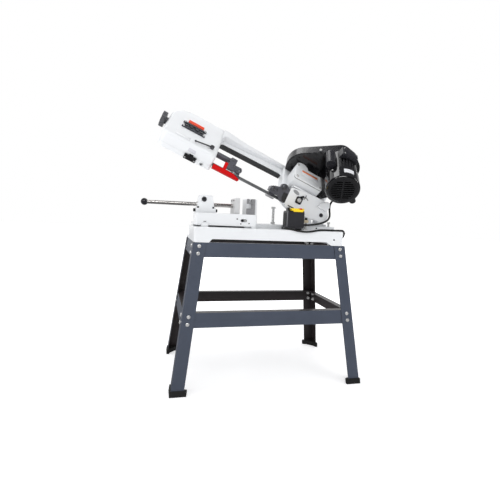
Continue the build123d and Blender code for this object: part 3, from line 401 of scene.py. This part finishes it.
# ---------------------------------------------------------------- small pieces
def emit(name, parts, mat, body, bevel=0.0, sharp=35.0, smooth=True):
    """Join (verts, faces) lists into one mesh that rides a body; the points are in metres in the row frame."""
    verts, faces = [], []
    for vs, fs in parts:
        k = len(verts)
        verts += [tuple(v) for v in vs]
        faces += [tuple(i + k for i in f) for f in fs]
    me = bpy.data.meshes.new(name)
    me.from_pydata(verts, [], faces)
    bm = bmesh.new()
    bm.from_mesh(me)
    bmesh.ops.recalc_face_normals(bm, faces=bm.faces)
    if bevel:
        es = [e for e in bm.edges if len(e.link_faces) == 2 and e.calc_face_angle() > 0.6]
        bmesh.ops.bevel(bm, geom=es, offset=bevel, segments=2, profile=0.6, affect="EDGES", clamp_overlap=True)
    bm.to_mesh(me)
    bm.free()
    for p in me.polygons:
        p.use_smooth = smooth
    if smooth:
        me.set_sharp_from_angle(angle=math.radians(sharp))
    me.materials.append(mat)
    ob = bpy.data.objects.new(name, me)
    scene.collection.objects.link(ob)
    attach(ob, body)
    return ob


def frm(o, z, x):
    z = z.normalized()
    x = (x - z * x.dot(z)).normalized()
    y = z.cross(x)
    m = Matrix((x, y, z)).transposed().to_4x4()
    m.translation = o
    return m @ Matrix.Scale(0.001, 4)


def lathe(m, prof, seg=28):
    """Turned shape from (radius, height) pairs in mm about the frame's z."""
    vs, fs, rings = [], [], []
    for r, h in prof:
        if r <= 1e-6:
            rings.append([len(vs)])
            vs.append(m @ Vector((0, 0, h)))
        else:
            rings.append(list(range(len(vs), len(vs) + seg)))
            vs += [m @ Vector((r * math.cos(2 * math.pi * i / seg), r * math.sin(2 * math.pi * i / seg), h)) for i in range(seg)]
    for a, b in zip(rings, rings[1:]):
        for i in range(seg):
            j = (i + 1) % seg
            q = [a[i % len(a)], a[j % len(a)], b[j % len(b)], b[i % len(b)]]
            q = [v for k, v in enumerate(q) if v not in q[:k]]
            if len(q) > 2:
                fs.append(q)
    for ring, flip in ((rings[0], True), (rings[-1], False)):
        if len(ring) > 1:
            fs.append(ring[::-1] if flip else ring)
    return vs, fs


def prism(m, pts, z0, z1):
    n = len(pts)
    vs = [m @ Vector((x, y, z0)) for x, y in pts] + [m @ Vector((x, y, z1)) for x, y in pts]
    fs = [list(range(n))[::-1], list(range(n, 2 * n))]
    fs += [[i, (i + 1) % n, n + (i + 1) % n, n + i] for i in range(n)]
    return vs, fs


def rrect(x0, x1, y0, y1, r, k=5):
    out = []
    for cx, cy, a0 in ((x1 - r, y1 - r, 0), (x0 + r, y1 - r, 90), (x0 + r, y0 + r, 180), (x1 - r, y0 + r, 270)):
        for i in range(k + 1):
            a = math.radians(a0 + 90 * i / k)
            out.append((cx + r * math.cos(a), cy + r * math.sin(a)))
    return out


def hexagon(af, turn=0.0):
    r = af / 2 / math.cos(math.pi / 6)
    return [(r * math.cos(math.radians(60 * i + turn)), r * math.sin(math.radians(60 * i + turn))) for i in range(6)]


def hexbolt(m, af, h, washer=0.0):
    parts = []
    z = 0.0
    if washer:
        parts.append(lathe(m, [(washer, 0.0), (washer, 1.1), (washer - 0.5, 1.5), (0, 1.5)]))
        z = 1.5
    parts.append(prism(m, hexagon(af, 15), z, z + h * 0.85))
    parts.append(lathe(m, [(af * 0.5, z + h * 0.8), (af * 0.42, z + h), (0, z + h)]))
    return parts


def capscrew(m, r, h):
    """Round head with a round socket."""
    return [lathe(m, [(r, 0), (r, h - 0.6), (r - 0.6, h), (r * 0.52, h), (r * 0.46, h * 0.45), (0, h * 0.45)])]


E_U = (hpt(1, 0, 0) - hpt(0, 0, 0)).normalized()
E_D = (hpt(0, 1, 0) - hpt(0, 0, 0)).normalized()
E_W = (hpt(0, 0, 1) - hpt(0, 0, 0)).normalized()
A_Z = (apt(0, 0, 1) - apt(0, 0, 0)).normalized()
X3, Y3, Z3 = Vector((1, 0, 0)), Vector((0, 1, 0)), Vector((0, 0, 1))


def front(u, z, y=-70.0):
    """Frame on the front plate: x to the right along the arm, y up, z towards the operator."""
    return frm(apt(u, y, z), -Y3, -E_U)


# ---------------------------------------------------------------- cords
MAINS = [
    (57, -130.5, 602), (57, -143, 602), (58, -155, 601.7), (64, -164.5, 601.3), (76, -169.2, 599), (92, -170.4, 595.2), (112, -170.5, 592.6),
    (140, -170.5, 592.2), (165, -170.3, 596.5), (186, -167.6, 600.9), (210, -161.5, 601.0), (232, -159.6, 600.9), (256, -158.5, 600.95), (277, -157, 601.4), (292, -155.5, 601.2),
    (301, -151, 591), (304, -140, 577), (304.5, -118, 564), (304, -88, 555.5), (303.5, -50, 551.5), (303.5, -8, 551.2),
    (303.2, 32, 552.8), (302, 68, 556.2), (298, 94, 558.2), (284, 114, 557.2), (260, 126, 555.6), (224, 134, 554.9),
    (184, 136.5, 554.85), (146, 138.5, 554.85), (108, 142.5, 554.85), (75, 146.8, 554.9), (46, 148.2, 555.0)]
COIL = (15.0, 108.0)
TURNS = [(43.6, 554.9), (36.2, 554.9), (36.2, 562.35), (36.2, 569.6), (43.6, 569.6), (43.6, 562.35)]


def coil_points(per=14):
    """Turns of the tied coil behind the bed, from where the lead arrives to the plug."""
    pts = []
    a0 = math.radians(72)
    grow = 1.0 / math.cos(math.pi / per) ** 0.5
    for i in range(per * (len(TURNS) - 1) + 1):
        k = min(i // per, len(TURNS) - 1)
        t = i / per - k
        f = min(1.0, max(0.0, (t - 0.70) / 0.30))
        nxt = TURNS[min(k + 1, len(TURNS) - 1)]
        r = TURNS[k][0] + (nxt[0] - TURNS[k][0]) * f
        z = TURNS[k][1] + (nxt[1] - TURNS[k][1]) * f
        a = a0 + 2 * math.pi * i / per
        pts.append((COIL[0] + r * grow * math.cos(a), COIL[1] + r * grow * math.sin(a), z))
    return pts + [(15.0, 152.0, 563.0), (4.0, 150.2, 562.2), (-5.0, 148.4, 560.4), (-12.0, 148.0, 559.5)]


def nurbs(name, pts, radius, mat):
    cu = bpy.data.curves.new(name, "CURVE")
    cu.dimensions = "3D"
    sp = cu.splines.new("NURBS")
    sp.points.add(len(pts) - 1)
    for p, q in zip(sp.points, pts):
        v = wpt(*q)
        p.co = (v.x, v.y, v.z, 1.0)
    sp.order_u = 3
    sp.use_endpoint_u = True
    sp.resolution_u = 10
    cu.bevel_depth = radius
    cu.bevel_resolution = 6
    cu.use_fill_caps = True
    if mat is not None:
        cu.materials.append(mat)
    ob = bpy.data.objects.new(name, cu)
    scene.collection.objects.link(ob)
    return ob


def centreline(pts):
    """Points along the curve itself."""
    ob = nurbs("centreline_tmp", pts, 0.0, None)
    bpy.context.view_layer.update()
    me = bpy.data.meshes.new_from_object(ob)
    out = [v.co.copy() for v in me.vertices]
    cu = ob.data
    bpy.data.objects.remove(ob)
    bpy.data.curves.remove(cu)
    bpy.data.meshes.remove(me)
    return out


def run(points):
    return sum((b - a).length for a, b in zip(points, points[1:]))


MAINS_ALL = MAINS + coil_points()
mains = nurbs("mains_lead", MAINS_ALL, 0.00375, MAT["rubber"])
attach(mains, "base")
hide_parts("mains_cord", "cord_coil")

# strap round the turns of the coil
ta = math.radians(215)
ro = Vector((math.cos(ta), math.sin(ta), 0.0))
tv, tf = [], []
loop = [(31.9, 551.35), (48.0, 551.35), (48.0, 573.9), (31.9, 573.9)]
loop_r = []
for i, (r, z) in enumerate(loop):
    cr, cz = 39.95, 562.6
    for sx_, sz_ in ((0.0, 1.0), (1.0, 0.0)) if i in (1, 3) else ((1.0, 0.0), (0.0, 1.0)):
        loop_r.append((r + (3.2 if r < cr else -3.2) * sx_, z + (3.2 if z < cz else -3.2) * sz_))
for r, z in loop_r:
    for off in (-3.2, 3.2):
        for th in (0.0, 0.7):
            k = 1.0 + 0.0 * th
            rr = r + (th if r > 39.95 else -th)
            zz = min(574.2, z + (th if z > 562.6 else -min(th, 0.2)))
            c = ro * rr + Vector((-ro.y, ro.x, 0.0)) * off
            tv.append(wpt(COIL[0] + c.x, COIL[1] + c.y, zz))
nl = len(loop_r)
for i in range(nl):
    a, b = 4 * i, 4 * ((i + 1) % nl)
    tf += [(a + 1, b + 1, b + 3, a + 3), (a, a + 2, b + 2, b), (a, b, b + 1, a + 1), (a + 2, a + 3, b + 3, b + 2)]
tie = emit("coil_tie", [(tv, tf)], MAT["plastic_black"], "base")
run(centreline(MAINS_ALL))

LEAD_END = hpt(-34, 30, 88.2)
LEAD_Q = LEAD_END - (hpt(0, 0, 18) - hpt(0, 0, 0))
LEAD = [
    (141, -116, 617), (153, -116, 617), (176, -106, 618.5), (208, -97, 622.5), (236, -92, 629.5), (256, -87.5, 640), (268, -78, 653),
    (275, -64, 666), (281, -48, 678), (286, -36, 691), (289, -31, 706)]
LEAD = LEAD + [((v.x - SX) * 1000, v.y * 1000, v.z * 1000) for v in (LEAD_Q, LEAD_END)]
LEAD_LINE = centreline(LEAD)
tmp = nurbs("motor_lead_tmp", LEAD, 0.004, MAT["rubber"])
bpy.context.view_layer.update()
lead_me = bpy.data.meshes.new_from_object(tmp)
lead_cu = tmp.data
bpy.data.objects.remove(tmp)
bpy.data.curves.remove(lead_cu)
lead_me.name = "motor_lead_cable"
lead = bpy.data.objects.new("motor_lead_cable", lead_me)
scene.collection.objects.link(lead)
for p in lead_me.polygons:
    p.use_smooth = True
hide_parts("motor_lead")
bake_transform(lead)

# toothed blade: one loop of strip, twisted between the guides
def blade_loop():
    R, TH, HALF = 93.95, 0.9, 6.5
    U0, U1 = 78.0, 604.0
    run = U1 - U0
    arc = math.pi * R
    total = 2 * run + 2 * arc
    teeth = int(round(total / 4.1))
    steps = teeth * 3
    stations = ((78.0, 0.0), (206.0, 45.0), (406.0, 45.0), (604.0, 0.0))
    vs, fs = [], []
    for i in range(steps):
        s = total * i / steps
        phi = 0.0
        if s < run:
            u, d = U0 + s, R
            nu, nd = 0.0, 1.0
            for (a, pa), (b, pb) in zip(stations, stations[1:]):
                if a <= u <= b:
                    t = (u - a) / (b - a)
                    phi = math.radians(pa + (pb - pa) * t)
        elif s < run + arc:
            a = math.pi / 2 - (s - run) / R
            nu, nd = math.cos(a), math.sin(a)
            u, d = U1 + R * nu, R * nd
        elif s < 2 * run + arc:
            u, d = U1 - (s - run - arc), -R
            nu, nd = 0.0, -1.0
        else:
            a = -math.pi / 2 - (s - 2 * run - arc) / R
            nu, nd = math.cos(a), math.sin(a)
            u, d = U0 + R * nu, R * nd
        k = i % 3
        low = -HALF + (1.7 if k == 1 else 0.0) + (0.5 if k == 2 else 0.0)
        setoff = (0.18, 0.0, -0.18)[(i // 3) % 3] if k != 1 else 0.0
        c, sn = math.cos(phi), math.sin(phi)
        for wv, off in ((low, setoff), (-HALF + 2.2, 0.0), (HALF, 0.0)):
            for t in (-TH / 2, TH / 2):
                du = nu * (t + off)
                dd = nd * (t + off) * c - sn * wv
                dw = (t + off) * sn + c * wv
                vs.append(hpt(u + du, d + dd, dw))
    for i in range(steps):
        a, b = 6 * i, 6 * ((i + 1) % steps)
        for p, q in ((0, 2), (2, 4)):
            fs.append((a + p, b + p, b + q, a + q))
            fs.append((a + q + 1, b + q + 1, b + p + 1, a + p + 1))
        fs.append((a + 4, b + 4, b + 5, a + 5))
        fs.append((a + 1, b + 1, b, a))
    return vs, fs


blade = emit("saw_blade_toothed", [blade_loop()], MAT["blade"], "arm", sharp=25.0)
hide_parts("blade")

# front plate of the drive housing: trip plate with its bolt, blank oval plate, wire hook
trip = front(115, 12)
emit("trip_plate", [prism(trip, rrect(-14, 13, -15, 14, 5), 0.2, 3.2), prism(trip, [(-13, 8), (-4, 14), (9, 25), (15, 23), (14, 18), (4, 10)], 0.3, 2.6)], MAT["plastic_black"], "arm", bevel=0.0006)
emit("trip_bolt", [lathe(trip, [(9.0, 3.2), (9.0, 4.4), (8.4, 4.9), (6.2, 4.9), (6.2, 8.0), (5.2, 9.4), (2.8, 10.1), (0, 10.1)])], MAT["zinc"], "arm")
oval = frm(apt(139, -70.0, 36), -Y3, -E_U + A_Z * -0.22)
emit("oval_plate", [prism(oval, [(15 * math.cos(a), 7 * math.sin(a)) for a in [math.pi * i / 16 for i in range(32)]], 0.1, 1.0), lathe(oval, [(2.2, 0.9), (2.2, 1.8), (1.6, 2.1), (0, 2.1)], 16)], MAT["plate_grey"], "arm", bevel=0.0003)


def wire(name, pts, r, mat, body, seg=10):
    vs, fs = [], []
    n = len(pts)
    for i, p in enumerate(pts):
        t = (pts[min(i + 1, n - 1)] - pts[max(i - 1, 0)]).normalized()
        x = t.cross(Vector((0.31, 0.87, 0.38))).normalized()
        y = t.cross(x)
        vs += [p + (x * math.cos(2 * math.pi * k / seg) + y * math.sin(2 * math.pi * k / seg)) * r for k in range(seg)]
    for i in range(n - 1):
        for k in range(seg):
            j = (k + 1) % seg
            fs.append((i * seg + k, i * seg + j, (i + 1) * seg + j, (i + 1) * seg + k))
    fs += [tuple(range(seg))[::-1], tuple(range((n - 1) * seg, n * seg))]
    return emit(name, [(vs, fs)], mat, body, sharp=60.0)


hook = [(112, -72.5, 27), (106, -74.5, 30), (98, -75.5, 33), (92, -75.0, 33.5), (86, -74.0, 31), (80, -72.5, 28)]
wire("trip_wire", [apt(*p) for p in hook], 0.0011, MAT["plastic_black"], "arm")
hook2 = [(98, -73.0, 24), (97, -75.5, 30), (96, -76.0, 37), (95, -75.0, 43)]
wire("trip_wire_upright", [apt(*p) for p in hook2], 0.0011, MAT["plastic_black"], "arm")

# gearbox gasket under the cover
gk = []
for cx, cy, a0, a1, r in ((48, 36, 180, 90, 8), (162, 36, 90, 0, 8)):
    for i in range(6):
        a = math.radians(a0 + (a1 - a0) * i / 5)
        gk.append((cx + r * math.cos(a), cy + r * math.sin(a)))
for i in range(17):
    a = math.radians(0 - 180 * i / 16)
    gk.append((138 + 28 * math.cos(a), -49 + 28 * math.sin(a)))
for i in range(6):
    a = math.radians(-90 - 90 * i / 5)
    gk.append((48 + 8 * math.cos(a), -38 + 8 * math.sin(a)))
cxm = sum(p[0] for p in gk) / len(gk)
cym = sum(p[1] for p in gk) / len(gk)
ring_o = [(x + 0.7 * (1 if x > cxm else -1), y + 0.7 * (1 if y > cym else -1)) for x, y in gk]
gv, gf = [], []
for w in (93.2, 94.9):
    gv += [hpt(x, y, w) for x, y in ring_o]
ng = len(ring_o)
for i in range(ng):
    j = (i + 1) % ng
    gf.append((i, j, ng + j, ng + i))
for w, flip in ((93.2, True), (94.9, False)):
    k = len(gv)
    gv += [hpt(x + 1.5 * (-1 if x > cxm else 1), y + 1.5 * (-1 if y > cym else 1), w) for x, y in ring_o]
    o = 0 if flip else ng
    for i in range(ng):
        j = (i + 1) % ng
        gf.append((o + i, o + j, k + j, k + i))
emit("gearbox_gasket", [(gv, gf)], MAT["gasket_and_shade"], "arm")

# screws of the cover hinge and latch of the idler cover
sc = []
for u in (556, 594):
    sc += capscrew(frm(hpt(u, 107.0, -20), E_D, E_U), 2.8, 1.6)
emit("hinge_screws", sc, MAT["zinc"], "idler_lid")
lt = frm(hpt(527, 105.0, -16.5), E_D, E_U)
emit("cover_latch_screw", [lathe(lt, [(6.2, 0.05), (6.2, 2.0), (5.2, 3.2), (2.6, 3.4), (2.2, 1.6), (0, 1.6)])], MAT["alloy"], "idler_lid")

# blank plates where the printed labels sit
lab = frm(hpt(631, 85, 45.0), E_W, E_U)
emit("blank_label_top", [prism(lab, rrect(-29, 29, -8.5, 8.5, 1.5), 0.02, 0.30)], MAT["label_pale"], "arm", bevel=0.0001)
emit("blank_label_top_field", [prism(lab, rrect(-27.6, 27.6, -7.1, 7.1, 1.0), 0.02, 0.40)], MAT["paint_white"], "arm", bevel=0.0001)
lab2 = frm(hpt(578, 105.0, 17), E_D, E_U)
emit("blank_label_front", [prism(lab2, rrect(-15, 15, -8, 8, 1.0), 0.02, 0.35)], MAT["label_pale"], "arm", bevel=0.0001)
lab3 = frm(hpt(101, -9.5, 100.0), E_W, E_U)
emit("blank_label_gearbox", [prism(lab3, rrect(-40, 40, -18.5, 18.5, 2), 0.02, 0.35)], MAT["plate_bare"], "arm", bevel=0.0001)
emit("blank_label_stripe", [prism(lab3, rrect(-38, 38, -16.5, -3.5, 1.0), 0.02, 0.45)], MAT["label_orange"], "arm", bevel=0.0001)

# motor: bare rating plate round the fan cover, screws of the fan cover and the box lid
pv, pf = [], []
rows = 10
for i in range(rows + 1):
    th = math.radians(58 + 34 * i / rows)
    for d in (73.0, 97.0):
        for r in (66.52, 67.0):
            pv.append(hpt(10 + r * math.cos(th), d, 189 + r * math.sin(th)))
for i in range(rows):
    a, b = 4 * i, 4 * (i + 1)
    pf += [(a + 1, b + 1, b + 3, a + 3), (a, a + 2, b + 2, b), (a, b, b + 1, a + 1), (a + 2, a + 3, b + 3, b + 2)]
pf += [(0, 1, 3, 2), (4 * rows, 4 * rows + 2, 4 * rows + 3, 4 * rows + 1)]
emit("rating_plate_blank", [(pv, pf)], MAT["plate_bare"], "arm")
fs_ = []
for th in (20, 110, 200, 290):
    t = math.radians(th)
    n = (E_U * math.cos(t) + E_W * math.sin(t)).normalized()
    fs_ += capscrew(frm(hpt(10 + 66.4 * math.cos(t), 62, 189 + 66.4 * math.sin(t)), n, E_D), 3.2, 2.0)
emit("fan_cover_screws", fs_, MAT["zinc"], "arm")
jl = frm(hpt(14.5, -39, 259.0), E_W, E_U)
emit("junction_lid", [prism(jl, rrect(-34, 34, -22, 22, 4), 0.0, 1.6)], MAT["plastic_black"], "arm", bevel=0.0005)
js = []
for x, y in ((-30, -18), (30, -18), (-30, 18), (30, 18)):
    js += capscrew(frm(hpt(14.5 + x, -39 + y, 260.6), E_W, E_U), 2.6, 1.4)
emit("junction_lid_screws", js, MAT["zinc"], "arm")

# belt guard: screw in its rim and a hole plug in its plate
gn = (E_U * 0.593 + E_W * 0.8055).normalized()
emit("guard_rim_screw", hexbolt(frm(hpt(104.6, -95, 184) + gn * 0.0008, gn, E_D), 7.0, 3.2, washer=5.5), MAT["zinc"], "arm", bevel=0.0002)
hp = frm(hpt(87.6, -78.0, 115), E_D, E_U)
emit("guard_hole_grommet", [lathe(hp, [(5.0, 0.0), (5.0, 0.8), (4.2, 1.2), (3.2, 0.6), (2.6, 0.1), (0, 0.1)])], MAT["gasket_and_shade"], "arm")

# vise: bushes of the push rod, holding screws whose dark heads also stand in for the shade under the bushes, side
# screws, marks on the front of the table
for k, (x, sx) in enumerate(((-283.4, -1.0), (-221.8, 1.0))):
    bm_ = frm(wpt(x, -97, 678), X3 * sx, Y3)
    emit("rod_bush_%d" % k, [lathe(bm_, [(7.4, -1.6), (10.5, -1.6), (10.5, 1.2), (9.9, 1.8), (7.9, 1.8), (7.4, 1.2), (7.4, -1.6)], 36)], MAT["zinc"], "base")
hs = []
for x in (-280.7, -224.3):
    hs += capscrew(frm(wpt(x, -115.6, 664.0), Z3, X3), 3.6, 5.6)
for x, ax in ((-289.0, -1.0), (-214.5, 1.0)):
    for y in (-110, -86):
        hs += [lathe(frm(wpt(x, y, 656.5), X3 * ax, Y3), [(5.9, 0.02), (5.9, 5.6), (5.2, 6.3), (3.0, 6.3), (2.7, 6.05), (0, 6.05)])]
emit("bracket_screws_and_shade_marks", hs, MAT["black_oxide"], "base")
tm = []
for x, z, r in ((-138.8, 629.8, 2.6), (-124.4, 612.0, 2.2), (-93.2, 614.6, 2.2)):
    tm.append(lathe(frm(wpt(x, -150.0, z), -Y3, X3), [(r, 0.02), (r, 0.6), (r - 0.5, 1.0), (r * 0.5, 1.0), (r * 0.45, 0.4), (0, 0.4)], 18))
tm.append(prism(frm(wpt(-258.0, -150.0, 616.4), -Y3, X3), rrect(-5.0, 5.0, -1.1, 1.1, 1.0), 0.02, 0.5))
emit("table_set_screws", tm, MAT["black_oxide"], "base")
jm = []
for y in (-116, -78):
    jm += capscrew(frm(wpt(-147.0, y, 698.0), -X3, Y3), 3.0, 1.6)
emit("jaw_screws", jm, MAT["black_oxide"], "vise_slider")

# switch: a lighter strip painted as a highlight on the front-left corner, a dark panel painted as shade on the left
# side, and the base plate of the box
sl = frm(wpt(57.0, 0.0, 0.0), -X3, -Y3)
emit("switch_corner_highlight_strip", [prism(sl, [(144.5, 609.5), (156.9, 609.5), (156.9, 664.5), (144.5, 664.5)], 0.02, 0.5)], MAT["switch_trim_and_highlight"], "base", bevel=0.0002)
emit("switch_side_shade_panel", [prism(sl, rrect(101.5, 141.5, 612.0, 662.0, 3.0), 0.02, 0.6)], MAT["gasket_and_shade"], "base", bevel=0.0002)
emit("switch_base_plate", [prism(frm(wpt(0, 0, 0), Z3, X3), rrect(62.3, 121.0, -158.0, -100.0, 3.0), 603.6, 606.95)], MAT["switch_trim_and_highlight"], "base", bevel=0.0006)

# post beside the switch with a cream cable block and its bolt
po = frm(wpt(154.0, -101.5, 597.0), Z3, X3)
emit("cable_post", [prism(po, rrect(-4, 4, -2.2, 2.2, 1.5), 0.0, 43.0), prism(po, rrect(-8, 8, -4, 4, 2.0), 0.0, 3.0)], MAT["zinc"], "base", bevel=0.0003)
emit("cream_block", [prism(po, rrect(-8.5, 9, -4.2, 4.2, 2.5), 29.0, 40.5), prism(po, rrect(-4, 11.5, -3.2, 3.2, 2), 31.0, 36.0)], MAT["cream"], "base", bevel=0.0008)
pb = [lathe(po, [(6.2, 40.6), (6.2, 42.0), (5.6, 42.4), (0, 42.4)])]
pb += hexbolt(frm(wpt(154.0, -101.5, 597.0 + 42.4), Z3, X3), 10.0, 6.0)
emit("cable_post_bolt", pb, MAT["black_oxide"], "base", bevel=0.0003)

# dark discs in the two small holes at the right of the bed: painted shade for the depth of the holes
hp = []
for x, y, z in ((250, -163.6, 564), (205, -91.6, 605)):
    hp.append(lathe(frm(wpt(x, y, z), -Y3, X3), [(3.35, 0.0), (3.35, 1.2), (2.6, 1.6), (1.6, 1.0), (0, 1.0)]))
emit("bed_hole_shade_discs", hp, MAT["gasket_and_shade"], "base")

# blade guides: roller bolts, pads, and a dark sheet painted as the shade in the recess of the right guide
gb = [lathe(front(386, 9, -53.0), [(7.4, 0.02), (7.4, 0.5), (7.0, 0.8), (3.4, 0.8), (3.0, 0.1), (0, 0.1)])]
gb += capscrew(front(420, 36, -46.0), 3.4, 2.4)
gb += capscrew(front(411, 16, -46.0), 3.4, 2.4)
emit("guide_head_bolts", gb, MAT["bolt_grey"], "guide", bevel=0.0003)
emit("guide_head_pad", [prism(front(391, -7.0, -42.0), rrect(-13, 10, -5.5, 4.0, 1.5), 0.02, 1.2)], MAT["alloy"], "guide", bevel=0.0003)
rb = hexbolt(front(236, 7, -74.0), 11.0, 4.0, washer=8.0)
rb += hexbolt(front(194, 33, -72.0), 13.0, 4.5, washer=9.5)
rb += capscrew(front(216, 9, -68.0), 4.0, 3.0)
emit("right_guide_bolts", rb, MAT["bolt_grey"], "arm", bevel=0.0003)
emit("right_guide_recess_shade", [prism(front(0, 0, -68.0), [(-188, 8), (-172, 15), (-167.5, 14), (-167.5, -22), (-180, -22), (-187, -9)], 0.05, 0.9)], MAT["gasket_and_shade"], "arm", bevel=0.0002)
emit("right_guide_strip", [prism(frm(apt(0, -36.0, 0), -Y3, -E_U), [(-246, -20.6), (-206, -20.6), (-206, -26.0), (-239, -26.4)], -10.0, 0.0)], MAT["strip_grey"], "arm", bevel=0.0004)
emit("plate_lower_slot", [prism(front(0, 0, -70.0), [(-150, -24.5), (-118, -24.5), (-116, -29.5), (-148, -29.5)], 0.02, 0.4)], MAT["gasket_and_shade"], "arm", bevel=0.0001)

# ---------------------------------------------------------------- floor and light
me = bpy.data.meshes.new("floor")
bm = bmesh.new()
bmesh.ops.create_grid(bm, x_segments=1, y_segments=1, size=14.0)
bm.to_mesh(me)
bm.free()
floor = bpy.data.objects.new("floor", me)
scene.collection.objects.link(floor)
fm = Net("floor_pale")
fl = fm.ramp(fm.noise(3.0, 3.0), [(0.3, (0.86, 0.86, 0.87)), (0.7, (0.88, 0.88, 0.89))])
far = fm.n("ShaderNodeVectorMath", operation="LENGTH")
fm.link(fm.tc.outputs["Object"], far.inputs[0])
glow = fm.n("ShaderNodeMapRange")
glow.inputs["From Min"].default_value = 0.5
glow.inputs["From Max"].default_value = 2.2
glow.inputs["To Min"].default_value = 0.43
glow.inputs["To Max"].default_value = 1.2
fm.link(far.outputs["Value"], glow.inputs["Value"])
flp = fm.n("ShaderNodeLightPath")
dim = fm.math("MULTIPLY", glow.outputs["Result"], fm.math("SUBTRACT", fm.math("SUBTRACT", 1.0, fm.math("MULTIPLY", flp.outputs["Is Glossy Ray"], 0.92)), fm.math("MULTIPLY", flp.outputs["Is Diffuse Ray"], 0.34)))
fm.b.inputs["Emission Color"].default_value = (1.0, 1.0, 1.0, 1.0)
fm.link(dim, fm.b.inputs["Emission Strength"])
fl = fm.mix(fm.math("MULTIPLY", flp.outputs["Is Glossy Ray"], 0.85), fl, (0.06, 0.06, 0.065))
me.materials.append(fm.finish(fl, 0.8, bevel=0, spec=0.05))

world = bpy.data.worlds.new("studio")
scene.world = world
world.use_nodes = True
wt = world.node_tree
bg = wt.nodes["Background"]
bg.inputs["Strength"].default_value = 0.70
wc = wt.nodes.new("ShaderNodeTexCoord")
ws = wt.nodes.new("ShaderNodeSeparateXYZ")
wr = wt.nodes.new("ShaderNodeValToRGB")
wt.links.new(wc.outputs["Generated"], ws.inputs[0])
wm = wt.nodes.new("ShaderNodeMath")
wm.operation = "MULTIPLY_ADD"
wm.inputs[1].default_value = 0.5
wm.inputs[2].default_value = 0.5
wt.links.new(ws.outputs["Z"], wm.inputs[0])
wt.links.new(wm.outputs[0], wr.inputs["Fac"])
els = wr.color_ramp.elements
els[0].position, els[0].color = 0.40, (0.78, 0.80, 0.84, 1.0)
els[1].position, els[1].color = 0.85, (1.0, 1.0, 1.0, 1.0)
wt.links.new(wr.outputs["Color"], bg.inputs["Color"])
bg2 = wt.nodes.new("ShaderNodeBackground")
bg2.inputs["Color"].default_value = (1.0, 1.0, 1.0, 1.0)
bg2.inputs["Strength"].default_value = 1.0
lp = wt.nodes.new("ShaderNodeLightPath")
# mirrors see a dim room with a white backdrop behind the machine, as between studio flags
bg3 = wt.nodes.new("ShaderNodeBackground")
bg3.inputs["Strength"].default_value = 1.0
wr3 = wt.nodes.new("ShaderNodeValToRGB")
wr3.color_ramp.elements[0].position, wr3.color_ramp.elements[0].color = 0.52, (0.03, 0.03, 0.035, 1.0)
wr3.color_ramp.elements[1].position, wr3.color_ramp.elements[1].color = 0.98, (0.14, 0.14, 0.15, 1.0)
wt.links.new(wm.outputs[0], wr3.inputs["Fac"])
back = wt.nodes.new("ShaderNodeMapRange")
back.inputs["From Min"].default_value = 0.45
back.inputs["From Max"].default_value = 0.85
wt.links.new(ws.outputs["Y"], back.inputs["Value"])
wr3m = wt.nodes.new("ShaderNodeMix")
wr3m.data_type = "RGBA"
wt.links.new(back.outputs["Result"], wr3m.inputs[0])
wt.links.new(wr3.outputs["Color"], wr3m.inputs[6])
wr3m.inputs[7].default_value = (1.0, 1.0, 1.0, 1.0)
wt.links.new(wr3m.outputs[2], bg3.inputs["Color"])
mg = wt.nodes.new("ShaderNodeMixShader")
wt.links.new(lp.outputs["Is Glossy Ray"], mg.inputs[0])
wt.links.new(bg.outputs[0], mg.inputs[1])
wt.links.new(bg3.outputs[0], mg.inputs[2])
mx = wt.nodes.new("ShaderNodeMixShader")
wt.links.new(lp.outputs["Is Camera Ray"], mx.inputs[0])
wt.links.new(mg.outputs[0], mx.inputs[1])
wt.links.new(bg2.outputs[0], mx.inputs[2])
wt.links.new(mx.outputs[0], wt.nodes["World Output"].inputs["Surface"])


def area(name, loc, target, size, power, diffuse=True, glossy=True):
    ld = bpy.data.lights.new(name, "AREA")
    ld.shape = "RECTANGLE"
    ld.size, ld.size_y = size
    ld.energy = power
    ob = bpy.data.objects.new(name, ld)
    scene.collection.objects.link(ob)
    ob.location = loc
    ob.rotation_euler = (Vector(target) - Vector(loc)).to_track_quat("-Z", "Y").to_euler()
    ob.visible_diffuse = diffuse
    ob.visible_glossy = glossy
    return ob


area("key", (-1.5, -2.0, 2.7), (0.0, 0.0, 0.7), (1.6, 1.6), 8, glossy=False)
area("top", (0.3, 0.3, 3.0), (0.0, 0.0, 0.5), (2.2, 1.8), 15, glossy=False)
area("left", (-2.6, -0.2, 1.3), (-0.1, 0.0, 0.7), (1.2, 1.6), 14, glossy=False)
area("right", (1.7, -1.9, 1.7), (0.2, 0.0, 0.75), (0.9, 1.2), 8, glossy=False)
area("front", (-0.1, -1.5, 1.9), (0.22, -0.05, 0.74), (0.35, 0.35), 1.6, glossy=False)
# narrow strips seen only in the polish of the dark pieces
area("strip_over", (-0.15, 0.75, 2.5), (0.2, 0.0, 0.9), (1.6, 0.7), 8, diffuse=False)
area("strip_front", (-0.9, -2.4, 2.2), (0.2, 0.0, 0.8), (2.0, 1.0), 36, diffuse=False)
area("strip_left", (-2.2, -1.5, 1.9), (0.0, 0.0, 0.75), (0.30, 1.4), 9, diffuse=False)
area("strip_right", (2.4, -1.0, 1.6), (0.1, 0.0, 0.75), (0.22, 1.2), 7, diffuse=False)
scene.view_settings.view_transform = "Standard"
scene.view_settings.look = "None"
